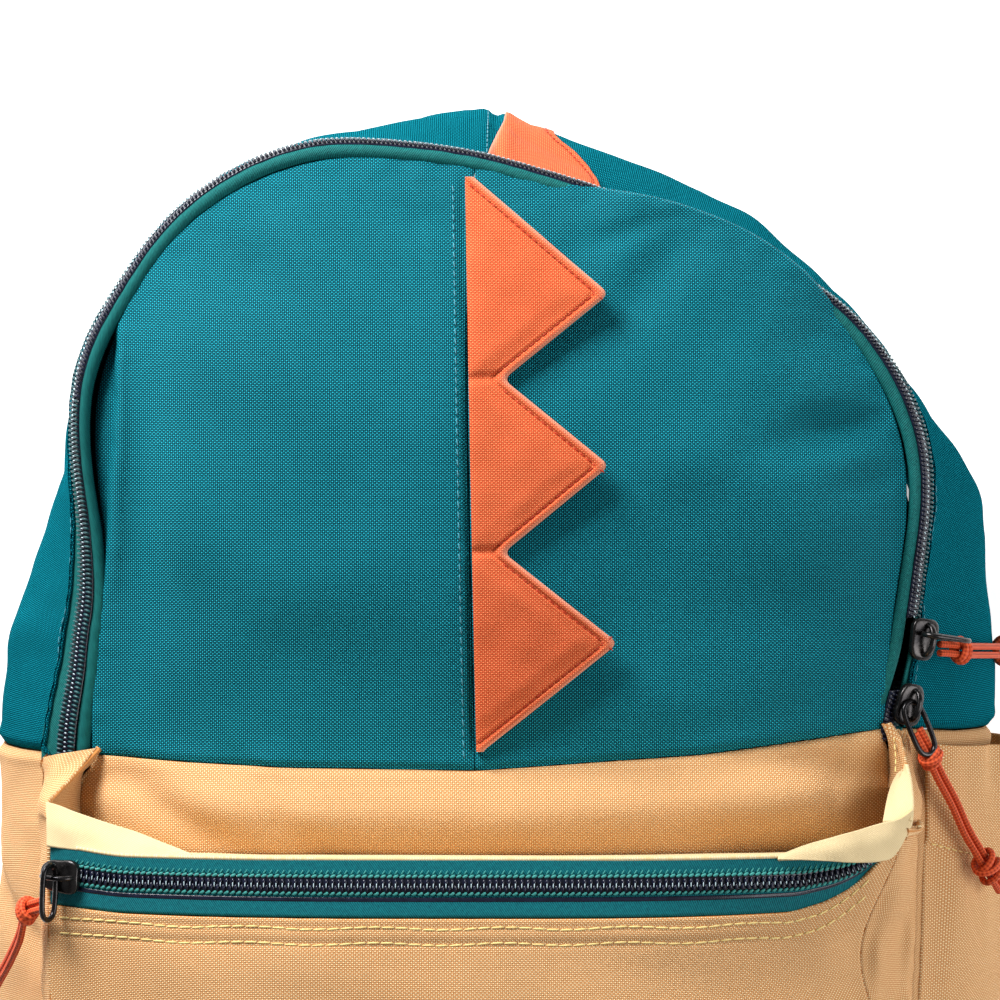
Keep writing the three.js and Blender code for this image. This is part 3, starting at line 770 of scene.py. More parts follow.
# Folds: from degrees and height, to degrees and height, depth, width
WALL_FOLDS = [
    (96, 60, 70, 96, -2.2, 5), (118, 30, 104, 92, -1.8, 6), (60, 40, 66, 96, 1.6, 7),
    (40, 56, 46, 98, -2.0, 5),
    (24, 30, 30, 96, 1.5, 6), (14, 60, 20, 100, -1.6, 4), (150, 40, 142, 98, -2.0, 6),
    (170, 20, 164, 94, 1.8, 7),
    (196, 60, 204, 100, -2.6, 6), (190, 20, 214, 70, 1.8, 9), (228, 30, 236, 96, -2.0, 7),
    (262, 30, 270, 92, 1.8, 9),
    (300, 30, 306, 96, -2.2, 7), (322, 70, 340, 96, -2.4, 6), (338, 20, 350, 84, 1.8, 8),
    (352, 40, 355, 98, -1.8, 5),
]
# How much the middle of the wall stands out: degrees, millimetres
BELLY_TRIM = np.array([[0, 1.5], [10, 0], [22, 0.5], [27, -0.8], [32, -3], [36, -4.6], [40, -3.6],
                       [44, -2.4], [52, -4.4],
                       [60, -2.4], [68, -1], [76, -3], [81, -4.2], [85, -4.2], [88, -1.2], [91, -1.4],
    [96, -3.8],
                       [101, -4.4], [105, -2.6], [109, -0.6], [128, -0.8], [135, -2.4], [140, -1.8],
    [145, 0], [180, 0]])


def wall_relief(degrees, z):
    """Broad swells, folds from the table (degrees along, height up), and gathers close to the zip."""
    along = degrees * MM_PER_DEGREE
    swell = 1.1 * ripple(along, z, 62, 11) + 0.35 * ripple(along, z, 17, 12)
    table = np.array(WALL_FOLDS) * [MM_PER_DEGREE, 1, MM_PER_DEGREE, 1, 1, 1]
    gathers = 0.22 * ripple(along, z * 0.2, 7, 13) * np.exp((z - EDGE_Z) / 9)
    fade = smooth_step(z, 0, 12) * (1 - 0.75 * smooth_step(z, 92, 102))
    return (swell + folds(along, z, table)) * fade + gathers * smooth_step(z, 60, 90)


def wall_surface(degrees, climb, seams=(), proud=0.0):
    """climb runs from 0 at the floor to 1 at the hem beside the zip. The wall leans in to meet the coil where
    the zip is turned on edge; seams are pinched lines at given degrees."""
    tilt = np.radians(section(degrees, 1))
    hem = section(degrees, 4)
    below = smooth_step(degrees, 182, 190) * (1 - smooth_step(degrees, 351, 358))
    hem_z = coil_height(tilt) - hem * np.sin(tilt) + 0.5
    hem_z = hem_z + (EDGE_Z - hem_z) * below
    z = hem_z * climb
    reach = (section(degrees, 2) + hem * np.cos(tilt) - 8) * (1 - below)
    lean = smooth_step(z / hem_z, 0.55, 1.0) ** 1.4 * reach
    belly = read_table(BELLY_TRIM, degrees) * 4 * climb * (1 - climb)
    radius = body_radius(degrees, np.minimum(z, EDGE_Z)) + belly + lean + proud
    radius = radius + wall_relief(degrees, z * EDGE_Z / hem_z)
    for seam in seams:
        away = (degrees - seam) * MM_PER_DEGREE
        radius = radius - 1.4 * bell(away, 1.4) + 0.5 * bell(np.abs(away) - 3.0, 1.8)
    return polar(degrees, radius, z)


print("wall folds:", len(WALL_FOLDS))

# %% [markdown]
# The wall is cut as four panels that meet at seams: a teal one over the top, two tan sides and a tan
# base. One closed strip would be less work, but the seams pinch the cloth, and two of them change its
# colour.


# %% Side wall panels
def wall_panel(name, start, stop, columns, finish, seams=()):
    """Rows climb the wall to its hem, then the cloth turns down under itself beside the zip."""
    u, v = grid(columns, 76)
    degrees = start + (stop - start) * u
    wall = wall_surface(degrees, v, (start, stop, *seams))
    t = np.linspace(0, 1, 6)[1:, None, None]
    last = wall[-1]
    inward = np.stack([CROSS_X - last[:, 0], CROSS_Y - last[:, 1], 0 * last[:, 0]], -1)
    inward /= np.linalg.norm(inward, axis=1)[:, None]
    hem = last + inward * np.sin(t * 1.9) * 0.8 - UP * (1 - np.cos(t * 1.9)) * 0.9
    points = np.concatenate([wall, hem], 0)
    weave = np.stack([arc_length(points, 1)[40] + 0 * points[..., 0], arc_length(points, 0)], -1)
    return cloth_panel(name + "_cloth", points, weave, finish, [name])


wall_panel("gusset_top", 0.1, 179.9, 420, teal_cloth_shaded, [GUSSET_SEAM])
wall_panel("side_panel_left", 180.1, 232.0, 150, tan_cloth)
wall_panel("base_panel", 232.2, 307.8, 190, tan_cloth)
wall_panel("side_panel_right", 308.0, 359.9, 150, tan_cloth)
print("wall panels: 4")

# %% [markdown]
# The front is three panels: two teal ones joined down the middle and a tan one behind the pocket. They
# swell over what is packed, so their edges roll down to the zip, and shallow dents and creases run in
# from it. Inflating a flat mesh by simulation gives a dome as well, but not these dents in these places.

# %% Front folds
# Dents: place, depth, half length, half width, direction in degrees
DENTS = [(48.6, 143.5, 5, 26, 7, 55), (100.6, 89.5, 4, 26, 7, 18), (-107.4, 59.5, 6, 52, 9, 88)]
# Folds: from a place to a place, depth, width; the second table is for the tan panel
FRONT_FOLDS = [
    (108, 93, 86, 91, -3.2, 3.2), (98, 84, 50, 80, 2.0, 9), (109, 75, 98, 73, -2.4, 5),
    (-31, 151, -18, 146, -1.8, 6),
    (-80, 137, -66, 131, -2.0, 8), (-66, 156, -60, 140, 1.4, 9), (-104, 100, -92, 60, 1.6, 10),
    (-30, 60, -16, 110, 1.6, 14),
    (46, 150, 30, 144, -3.0, 3.4), (62, 132, 84, 106, 1.8, 12), (30, 30, 90, 40, -2.0, 14),
    (-84, 36, -44, 24, -2.2, 16),
    (40, 149, 22, 142, -2.4, 5), (52, 146, 66, 124, 1.6, 9), (70, 118, 30, 84, -1.6, 14),
    (106, 93, 70, 84, -2.2, 6),
    (104, 102, 60, 104, 1.5, 9), (100, 60, 62, 74, 1.3, 12), (98, 22, 60, 46, -1.4, 12),
    (-60, 150, -30, 128, -1.2, 10),
    (-88, 112, -50, 96, 1.2, 12), (-96, 20, -60, 40, 1.3, 12), (-70, 60, -30, 70, -1.0, 14),
    (40, 60, 22, 20, -1.2, 12),
    (-12, 166, -26, 158, 1.0, 6), (-18, 160, -14, 120, -0.8, 6), (60, 8, 20, 12, 1.0, 8),
]
LOWER_FOLDS = [
    (66, -8, 96, -14, -2.6, 5), (60, -20, 90, -24, 2.2, 7), (-104, -14, -90, -22, -2.2, 5),
    (-76, -5, -66, -16, -1.6, 5),
    (-52, -8, -20, -12, 1.2, 6), (6, -8, 30, -14, 1.0, 7),
    (-118, -6, -84, -24, -2.6, 6), (-96, -8, -60, -16, 2.0, 8), (-76, -14, -56, -26, -1.6, 6),
    (-70, -6, -66, -1, 1.2, 6),
    (-10, -10, 10, -26, 1.2, 9), (30, -8, 54, -24, -1.4, 8), (64, -6, 92, -22, 1.8, 9),
    (84, -10, 104, -24, -2.2, 6),
    (98, 4, 90, -20, -1.6, 4),
]


# Ridge beside the zip at the left: degrees, place of the ridge, depth of the drop
SIDE_RIDGE = np.array([[129, -5.5, 0], [131, -9, 1], [135, -15.2, 1], [139, -15.9, 1], [144, -12.6, 1],
                       [150, -8.6, 0.9], [157, -6.2, 0.3], [162, -6, 0]])
print("front folds:", len(FRONT_FOLDS) + len(LOWER_FOLDS))

# %% [markdown]
# Under the folds lies one smooth dome, flat at the crown and steep at its edge, which a power of the
# distance gives. It is pressed in above the pocket, where the cloth falls into a valley, and it drops
# beside the zip.


# %% Front dome
def behind(degrees):
    """1 where the front's edge lies behind the pocket, 0 beside the main zip."""
    return smooth_step(degrees, 181, 187) * (1 - smooth_step(degrees, 353, 359))


def front_rim(degrees):
    """Distance to the front's edge: beside the zip from its section, behind the pocket a set way inside."""
    upper = smooth_step(degrees, -2, 2) * (1 - smooth_step(degrees, 178, 182))
    right = smooth_step(degrees, 352, 359)
    lower = smooth_step(degrees, 181, 187) * (11 - 6.6 * right) - 8 + 4.4 * (1 - smooth_step(degrees, 0, 90))
    return zip_radius(degrees) + (section(degrees, 3) + 0.3) * upper + lower * (1 - upper)


def dent_depth(x, y):
    """Each dent is a long bell: depth times exp(-(a / along) squared - (b / across) squared)."""
    total = 0.0
    for dent_x, dent_y, depth, along, across, turn in DENTS:
        c, s = math.cos(math.radians(turn)), math.sin(math.radians(turn))
        a, b = (x - dent_x) * c + (y - dent_y) * s, (y - dent_y) * c - (x - dent_x) * s
        total = total + depth * bell(a, along) * bell(b, across)
    return total


def side_drop(degrees, radius):
    """At the left the panel breaks over a sharp ridge and falls to a valley beside the zip."""
    past = radius - zip_radius(degrees) - read_table(SIDE_RIDGE, degrees, 1)
    drop = 5.5 * smooth_step(past, -1.0, 3.0) - 1.2 * bell(past + 2.0, 3.0)
    return read_table(SIDE_RIDGE, degrees, 2) * drop


def front_base(degrees, share):
    """Dome in polar form: the height falls from the crown as share to the fourth power."""
    radius = share * front_rim(degrees)
    x = CROSS_X + radius * np.cos(np.radians(degrees))
    y = CROSS_Y + radius * np.sin(np.radians(degrees))
    rim = RIM_Z - 8 * behind(degrees)
    pressed = 10 * smooth_step(-y, 22, 62) * (1 - share**4)
    power = 4 - 1.2 * np.maximum(np.sin(np.radians(degrees)), 0)
    valley = 6.8 * bell(y - CROSS_Y, np.where(y > CROSS_Y, 36, 9)) + 5 * smooth_step(-y, 15, 32)
    z = rim + (CROWN_Z - rim) * (1 - share**power) - pressed - dent_depth(x, y) * (1 - share**8)
    z = z - valley * (1 - share**6) + 3.4 * over_zip(degrees) * share**6 - side_drop(degrees, radius)
    upper = (degrees > 0) & (degrees < 180)
    x = x - upper * SEAM_LEAN * (y - CROSS_Y) * np.sin(np.radians(degrees)) ** 2 * (1 - share**6)
    return x, y, z


def seam_x(y):
    """The centre seam leans to the left by a fixed amount for each millimetre of height."""
    return CROSS_X - SEAM_LEAN * (y - CROSS_Y)


def front_relief(x, y, share):
    """Folds from the tables, broad swells, puckers along the edge, and the two seams pressed in."""
    still = 1 - share**10
    upper, lower = folds(x, y, FRONT_FOLDS), folds(x, y, LOWER_FOLDS)
    relief = upper * (y > CROSS_Y - 30) + lower * (1 - smooth_step(y, -4, 6))
    puckers = 0.35 * ripple(x, y, 9, 22) * bell(1 - share, 0.05)
    seams = 0.9 * bell(x - seam_x(y), 1.1) * smooth_step(y, -6, 0) + bell(y - CROSS_Y, 1.3)
    return (relief + 0.9 * ripple(x, y, 70, 21)) * still + puckers - seams * (1 - share**16)


def front_height(x, y):
    """Height of the dressed front at a place, read from the dome without the pull of the seam."""
    degrees = np.mod(np.degrees(np.arctan2(y - CROSS_Y, x - CROSS_X)), 360)
    share = np.minimum(np.hypot(x - CROSS_X, y - CROSS_Y) / front_rim(degrees), 1)
    return front_base(degrees, share)[2] + front_relief(x, y, share)


print("crown of the front:", round(float(front_height(CROSS_X, 60.0)), 1), "mm")

# %% [markdown]
# A panel is the dome inside its own seams, with an edge that rolls over and tucks down beside the zip,
# as cloth turned under at a seam does. A raw cut edge would show the thickness of the sheet.


# %% Front panels
def front_panel(name, start, stop, columns, rows, finish, shift):
    """Rows run from the rolled rim to the crossing of the seams; the rim tucks down beside the zip."""
    u, v = grid(columns, rows)
    degrees = start + (stop - start) * u
    share = np.sin((1 - v) * math.pi / 2)
    x, y, z = front_base(degrees, share)
    z = z + front_relief(x, y, share)
    dome = np.stack([x + shift[0], y + shift[1], z], -1)
    u, t = grid(columns, 7)
    tuck_degrees = start + (stop - start) * u
    tuck = np.stack(front_base(tuck_degrees, np.ones_like(u)), -1) + [shift[0], shift[1], 0.0]
    angle = np.radians(tuck_degrees)
    rolled = 1.1 * np.sin(math.pi * (1 - t)) - 0.6 * (1 - t)
    tuck += np.stack([rolled * np.cos(angle), rolled * np.sin(angle), -3.6 * (1 - t)], -1)
    points = pull_seam(np.concatenate([tuck[:-1], dome], 0))
    return cloth_panel(name + "_cloth", points, points[..., :2], finish, [name])


front_panel("front_panel_right", 0.0, 89.999, 230, 190, teal_cloth, (0.12, 0.12))
front_panel("front_panel_left", 90.001, 179.999, 230, 190, teal_cloth, (-0.12, 0.12))
front_panel("front_panel_lower", 180.001, 359.999, 320, 130, tan_cloth, (0.0, -0.12))
print("front panels: 3")

# %% [markdown]
# The main zip is two tapes with a nylon coil between them. The inner tape is turned over a cord and
# makes a round roll, and the outer one lies flat. Each is a strip swept round the zip line, because a
# strip keeps its width round every bend, which a straight ribbon that is bent afterwards doesn't.


# %% Main zip tapes
def swept_strip(name, degrees, point, rows, finish, nodes, thick=0.7):
    """A strip round the zip: point(degrees, v) gives its section, v running across it."""
    u, v = grid(len(degrees), rows)
    points = point(np.broadcast_to(degrees, u.shape), v)
    weave = np.stack([arc_length(points, 1), arc_length(points, 0)], -1)
    return cloth_panel(name, points, weave, finish, nodes, thick=thick, middle=(CROSS_X, 0, 40))


def outer_tape(degrees, v):
    """The flat tape runs from under the coil to beneath the hem of the wall."""
    hem = section(degrees, 4)
    return zip_point(degrees, 2.5 + (hem + 1.0 - 2.5) * v, -0.4 - 0.6 * v)


def tape_roll(degrees, v):
    """A half-round roll, 4 mm wide, between the coil and the front panel."""
    tilt = np.radians(section(degrees, 1))
    middle = section(degrees, 2) - ZIP_HALF * np.cos(tilt) - 2.1
    angle = math.pi * (1.12 * v - 0.06)
    lie = 0.12 * ripple(degrees * MM_PER_DEGREE, 0 * v, 6, 91)
    radius = zip_radius(degrees) + middle + 2.05 * np.cos(angle)
    return polar(degrees, radius, 111.0 + lie + 2.0 * np.sin(angle))


round_zip = np.linspace(-1.8, 181.4, 520)
swept_strip("outer_tape", round_zip, outer_tape, 8, green_tape, ["main_zip_tape_outer"])
swept_strip("inner_tape_roll", round_zip, tape_roll, 16, green_tape, ["main_zip_tape_inner"])
print("main zip length:", round(float(arc_length(zip_point(round_zip, 0.0), 0)[-1])), "mm")

# %% [markdown]
# A coil zip is one stiff wire wound into loops, two rows of them hooked together. Hundreds of turns
# could be swept as a real spiral, but each turn's top is a short rounded bar, so one small bar mesh is
# repeated along the zip, its two rows half a step apart. Stitches are made the same way from a thinner
# bar.


# %% Repeated bars: coil loops and stitches
BAR_RINGS = 4


def bar_points(sides):
    """A bar along X, one unit long and thick, whose half thickness is the root of 1 - 0.62 s cubed."""
    s = np.linspace(-1, 1, BAR_RINGS)[:, None]
    radius = 0.5 * np.sqrt(1 - np.abs(s) ** 3 * 0.62)
    angle = np.linspace(0, 2 * math.pi, sides, endpoint=False)
    bar = np.broadcast_arrays(0.5 * s, radius * np.cos(angle), radius * np.sin(angle))
    return np.stack(bar, -1).reshape(-1, 3)


def copies(faces, count, step):
    """The same faces for each of a number of copies, whose points follow one another."""
    return (faces + np.arange(count)[:, None, None] * step).reshape(-1, faces.shape[1])


def bars(name, centres, along, normal, size, finish, sides=6):
    """Copies of the bar at each centre; size is its length, width and height, the last along the normal."""
    template = bar_points(sides) * size
    along = along / np.linalg.norm(along, axis=1)[:, None]
    normal = normal - along * (normal * along).sum(1)[:, None]
    normal /= np.linalg.norm(normal, axis=1)[:, None]
    turned = np.stack([along, np.cross(normal, along), normal], 1)
    points = centres[:, None] + template @ turned
    shells = (grid_faces(BAR_RINGS, sides, around=True), end_faces(BAR_RINGS, sides))
    piece = make_mesh(name, points, [copies(part, len(centres), len(template)) for part in shells], finish)
    tidy_mesh(piece)
    return piece


def walk(line, pitch, start=0.0):
    """Centres and directions at an even pitch along a line of points."""
    places = np.arange(start, arc_length(line, 0)[-1], pitch)
    at, ahead, back = (read_along(line, line, places + step) for step in (0.0, 0.2, -0.2))
    return at, ahead - back


def stitches(name, line, normal, pitch, share, width, finish, slant=0.0, sunk=0.1):
    """A row of stitches: bars share times the pitch long, each turned by slant from the line."""
    at, direction = walk(line, pitch)
    direction /= np.linalg.norm(direction, axis=1)[:, None]
    normal = np.broadcast_to(np.asarray(normal, float), line.shape)
    up = read_along(line, normal, np.arange(len(at)) * pitch)
    up /= np.linalg.norm(up, axis=1)[:, None]
    turned = direction + np.cross(up, direction) * slant
    return settle(bars(name, at - up * sunk, turned, up, (pitch * share, width, width * 0.8), finish))


print("points in a bar:", len(bar_points(6)))

# %% [markdown]
# The main zip has green loops on its outer side, and short white bars along its coil are painted glints,
# where light catches the nylon. It runs in three stretches, because two sliders near its right end hold
# it shut above them. The rows of stitches beside it sit on the wall and the front, so they are read from
# the same surfaces.


# %% Main zip coil
def zip_line(start, stop, across, above, count=900):
    """A line along the zip between two directions."""
    return zip_point(np.linspace(start, stop, count), across, above)


def outward(line):
    """The direction square to the coil's plane at each point of a line beside the zip."""
    away = line - np.array([CROSS_X, CROSS_Y, 0.0])
    degrees = np.mod(np.degrees(np.arctan2(away[:, 1], away[:, 0])) + 90, 360) - 90
    tilt = np.radians(section(degrees, 1))[:, None]
    away[:, 2] = 0
    away /= np.linalg.norm(away, axis=1)[:, None]
    return away * np.sin(tilt) + UP * np.cos(tilt)


COIL_PITCH = 1.3


def coil(name, start, stop, nodes, inner_finish):
    """Two rows of bars over a dark core, half a step apart, with small loop heads between them."""
    def core(degrees, v):
        return zip_point(degrees, 2.7 - 5.4 * v, 0.1 + 0.5 * np.sin(math.pi * v))

    degrees = np.linspace(start, stop, 380)
    swept_strip(name + "_core", degrees, core, 9, nylon_coil, nodes, thick=1.1)
    rows = (("outer", 1.75, 2.0, 0.0, green_bars), ("inner", -1.75, 2.0, 0.65, inner_finish),
            ("heads", 0.0, 1.5, 0.3, nylon_coil))
    for row, across, length, shift, finish in rows:
        at, direction = walk(zip_line(start, stop, across, 0.75), COIL_PITCH, shift)
        away = outward(at)
        loop_way = np.cross(away, direction) + direction * 0.22
        settle(bars(f"{name}_{row}", at, loop_way, away, (length, 0.8, 1.2), finish, 7))


SLIDER_UPPER, SLIDER_LOWER = 16.4, 5.5
coil("main_coil_left", 138, 181.4, ["main_zip_coil"], green_bars)
coil("main_coil_right", SLIDER_UPPER, 138, [], nylon_coil)
coil("main_coil_end", -1.8, SLIDER_LOWER, ["main_zip_coil_end"], nylon_coil)
# short white bars on the coil are painted glints where light catches the nylon
line = zip_line(SLIDER_UPPER, 104, -1.0, 1.45)
stitches("coil_glints_right", line, outward(line), 1.5, 0.5, 0.46, glint_white, slant=1.1)
line = zip_line(104, 140, -0.6, 1.45)
stitches("coil_glints_top", line, outward(line), 1.5, 0.5, 0.44, glint_white, slant=1.1)
line = zip_line(140, 181.4, 0.0, 1.3)
stitches("coil_glints_left", line, outward(line), 1.3, 0.5, 0.3, glint_white, slant=3.0)
for row, climb in (("near", 0.984), ("far", 0.934)):
    for side, start, stop in (("right", 1.5, 36), ("left", 150, 179)):
        degrees = np.linspace(start, stop, 400)
        line = wall_surface(degrees, np.full(400, climb), (), 0.2)
        stitches(f"wall_stitches_{row}_{side}", line, outward(line), 2.9, 0.7, 0.4, teal_thread, sunk=0.0)
line = wall_surface(np.full(200, GUSSET_SEAM + 0.75), np.linspace(0.5, 0.97, 200), (), 0.25)
stitches("gusset_seam_stitches", line, [0.0, 0.7, 0.7], 2.9, 0.7, 0.4, teal_thread)
y = np.linspace(0, 158, 400)
x = seam_x(y) - 3.0
line = pull_seam(np.stack([x, y, front_height(x, y) + 0.2], 1))
stitches("centre_seam_stitches", line, UP, 2.9, 0.7, 0.42, teal_thread, slant=0.15)
print("coil loops:", len(walk(zip_line(SLIDER_UPPER, 181.4, 0, 0), COIL_PITCH)[0]) * 2)

# %% [markdown]
# The front pocket is a low dome of cloth whose zip crosses the bag from side to side. Its tape, coil and
# topstitches follow the same dome formula, so they all lie on one skin.


# %% Front pocket dome
POCKET_TOP, POCKET_BOTTOM = -27.9, -181.0
POCKET_MID_Z, POCKET_BULGE, POCKET_EDGE_Z = 158.0, 9.0, 140.0
# Folds: from a place to a place, depth, width
POCKET_FOLDS = [
    (-120, -60, -104, -120, -2.2, 7), (-60, -52, -20, -66, 1.2, 12), (-90, -48, -70, -90, 1.4, 12),
    (20, -50, 60, -70, -1.2, 12), (84, -44, 98, -74, 2.2, 8), (98, -50, 92, -100, -2.6, 7),
    (-30, -120, 30, -130, 1.4, 14),
    (60, -110, 90, -150, -2.0, 9), (-70, -130, -50, -160, -1.6, 9), (-10, -150, 20, -176, -1.6, 9),
]
# How far the zip curls up at its right end: share of the half width, rise
POCKET_CURL = np.array([[0.78, 0], [0.86, 2.2], [0.895, 4.2], [0.92, 6.3], [0.94, 9.0], [0.965, 13.2],
                        [1.0, 17.0]])


def pocket_pinch(y):
    """How far the full pocket is drawn in at its right side."""
    return 12.4 * bell(y + 58, 26)


def pocket_fall(y):
    """0 at the pocket's top and 1 at its bottom."""
    return (POCKET_TOP - y) / (POCKET_TOP - POCKET_BOTTOM)


def pocket_point(across, y):
    """across runs from -1 to 1; the edge follows the bag's rounded square, the height a 3.2 power dome."""
    t = pocket_fall(y)
    width = np.clip((POCKET_TOP - y) / 15.5, 0, 1.1)
    curl = sum(read_table(POCKET_CURL, across + d) for d in (-0.012, 0.0, 0.012)) / 3
    y = y + 2.0 * smooth_step(-across, 0.8, 1.0) * np.exp(-t * 6)
    y = y + curl * (0.15 + 0.85 * width) * np.exp(-np.maximum(0, -43.4 - y) / 18)
    narrow = (1 - np.abs((y - CROSS_Y) / DROP) ** CORNER_POWER) ** (1 / CORNER_POWER)
    pinch = pocket_pinch(y) * (across > 0)
    reach = REACH * np.where(across < 0, ZIP_SHARES[12], ZIP_SHARES[0]) * narrow + 1 - pinch
    edge = POCKET_EDGE_Z - 25 * t**3 - 0.9 * pinch
    mid = POCKET_MID_Z + POCKET_BULGE * np.sin(math.pi * np.clip(t, 0, 1)) - 43 * t**4
    z = edge + (mid - edge) * (1 - np.abs(across) ** 3.2)
    return np.stack(np.broadcast_arrays(CROSS_X + across * reach, y, z), -1)


def pocket_strip(name, band, ends, cells, finish, nodes, thick, lift=0.0, relief=None):
    """The dome's skin between two values of y and two of across, with a number of columns and rows."""
    u, v = grid(*cells)
    across, y = ends[0] + (ends[1] - ends[0]) * u, band[0] + (band[1] - band[0]) * v
    points = pocket_point(across, y)
    points[..., 2] += lift
    if relief is not None:
        points[..., 2] += relief(points[..., 0], points[..., 1], across)
    weave = np.stack([arc_length(points, 1)[cells[1] // 2] + 0 * points[..., 0], points[..., 1]], -1)
    return cloth_panel(name, points, weave, finish, nodes, thick=thick, middle=(CROSS_X, -90, 60))


def pocket_relief(x, y, across):
    """Folds and swells, gathers under the zip, and a low ridge where the seam allowance lies beneath."""
    ridge = 0.7 * smooth_step(y, -52, -46) - 0.4 * bell(y + 46.2, 0.8) - 0.4 * bell(y + 50.4, 0.8)
    gathers = 0.3 * np.exp((y + 43.6) / 8) * ripple(x, 0 * y, 11, 32)
    swells = folds(x, y, POCKET_FOLDS) + 0.8 * ripple(x, y, 60, 31)
    return swells * (1 - np.abs(across) ** 12) * smooth_step(-y, 44, 60) + gathers + ridge


TAPE_ENDS, TAPE_CELLS = (-0.995, 0.985), (300, 8)
pocket_strip("pocket_tape_upper", (-32.4, -27.9), TAPE_ENDS, TAPE_CELLS, teal_tape,
             ["pocket_zip_tape_upper"], 0.7)
pocket_strip("pocket_tape_lower", (-43.4, -37.2), TAPE_ENDS, TAPE_CELLS, teal_tape,
             ["pocket_zip_tape_lower"], 0.7)
pocket_strip("pocket_coil_core", (-37.3, -32.3), (-0.95, 0.98), (300, 6), nylon_coil,
             ["pocket_zip_coil"], 1.2, 0.1)
# a narrow dark strip along the lower edge of the coil: painted shadow of the coil on the lower tape
pocket_strip("pocket_tape_shadow_line", (-39.2, -38.0), (-0.99, 0.985),
    (300, 4), nylon_coil, [], 0.3, 0.06)
pocket_strip("pocket_front_cloth", (-181, -43.6), (-0.999, 0.999), (300, 160), tan_cloth,
             ["pocket_front"], 1.3, relief=pocket_relief)
print("pocket width:", round(float(np.ptp(pocket_point(np.array([-1.0, 1.0]), -60.0)[:, 0]))), "mm")

# %% [markdown]
# Two rows of coil loops, white glints where they hook together, green chain stitches that hold the coil
# to its tape, and two cream topstitches below all follow lines of the same dome, each a little above it.


# %% Pocket zip and topstitches
POCKET_COIL_PITCH = 1.7


def pocket_line(y, lift, start=-0.93, stop=0.965, wave=0.0):
    """A line across the pocket's dome at one y, lifted above it, with a slight wave."""
    across = np.linspace(start, stop, 900)
    line = pocket_point(across, y + wave * np.sin(across * 21))
    line[:, 2] += lift
    return line


def chain_row(name, y, lift, share, width, finish, slant):
    """One row of bars along the pocket's zip, one to each coil loop, for its stitches and its painted glints.
    """
    stitches(name, pocket_line(y, lift), UP, POCKET_COIL_PITCH, share, width, finish, slant=slant)


for row, y, shift in (("upper", -34.1, 0.0), ("lower", -35.7, POCKET_COIL_PITCH / 2)):
    at, direction = walk(pocket_line(y, 0.7), POCKET_COIL_PITCH, shift)
    loop_way = np.cross(UP, direction) + direction * 0.1
    loops = bars(f"pocket_coil_{row}", at, loop_way, UP + 0 * at, (1.8, 1.0, 1.2), nylon_coil, 7)
    settle(loops)
chain_row("pocket_coil_glints", -34.9, 1.25, 0.75, 0.26, glint_white, 30.0)
chain_row("pocket_chain_upper", -32.5, 0.5, 0.85, 0.85, green_thread, 0.5)
chain_row("pocket_chain_lower", -37.1, 0.5, 0.85, 0.85, green_thread, 0.5)
chain_row("pocket_needle_row", -31.5, 0.35, 0.85, 0.36, green_thread, 1.6)
for row, y in (("near", -46.2), ("far", -50.4)):
    line = pocket_line(y, 0.35, -0.96, 0.96, wave=0.35)
    line[:, 2] += pocket_relief(line[:, 0], line[:, 1], np.linspace(-0.96, 0.96, 900)) - 0.1
    stitches(f"pocket_topstitch_{row}", line, UP, 3.7, 0.88, 0.55, cream_thread, slant=0.05)
print("pocket coil loops:", 2 * len(at))

# %% [markdown]
# The pocket stands off the bag on a strip of cloth that goes round its sides and base. The strip is
# ruled between two edges that are known, the hem of the side wall and the rim of the pocket, and then
# crumpled. A draped sheet would sag more truly, but its edges wouldn't stay on those two seams.


# %% Pocket side wall
# Edges of the corner folds, from the cross seam out to the pocket's top at the left, and back at the right
LEFT_FOLD = np.array([[-117.7, -1.3, 114.5], [-120.8, -4.9, 119], [-123.8, -8.9, 125.5],
                      [-126.9, -12.2, 131.5], [-128.8, -14.5, 136.5], [-128.9, -17.9, 138.8]])
RIGHT_FOLD = np.array([[108.4, -24.5, 135], [110.8, -17.8, 132], [110.9, -12.3, 128],
                       [110.9, -6.1, 119.8], [110.3, 0.6, 112.2], [108.2, 3.8, 109.8]])


def pocket_rim(degrees):
    """Where the pocket's front meets its side wall."""
    low = polar(degrees, zip_radius(degrees), 0 * degrees)
    t = np.maximum(0, pocket_fall(low[..., 1]))
    rim = polar(degrees, zip_radius(degrees) + 1.4, POCKET_EDGE_Z - 0.6 - 25 * t**3)
    pinch = pocket_pinch(rim[..., 1]) * (rim[..., 0] > 0)
    return rim - np.stack([pinch, 0 * pinch, 0.9 * pinch], -1)


GUSSET_FOLDS = [
    (106, -33, 101, -71, 3.4, 4.5), (98, -58, 98, -76, -2.6, 2.6), (113, -34, 110, -80, -3.0, 2.6),
    (116, -30, 117, -74, 2.4, 3.0),
    (104, -80, 112, -120, 2.6, 5.0), (-131, -40, -129, -84, 1.6, 3.0),
]


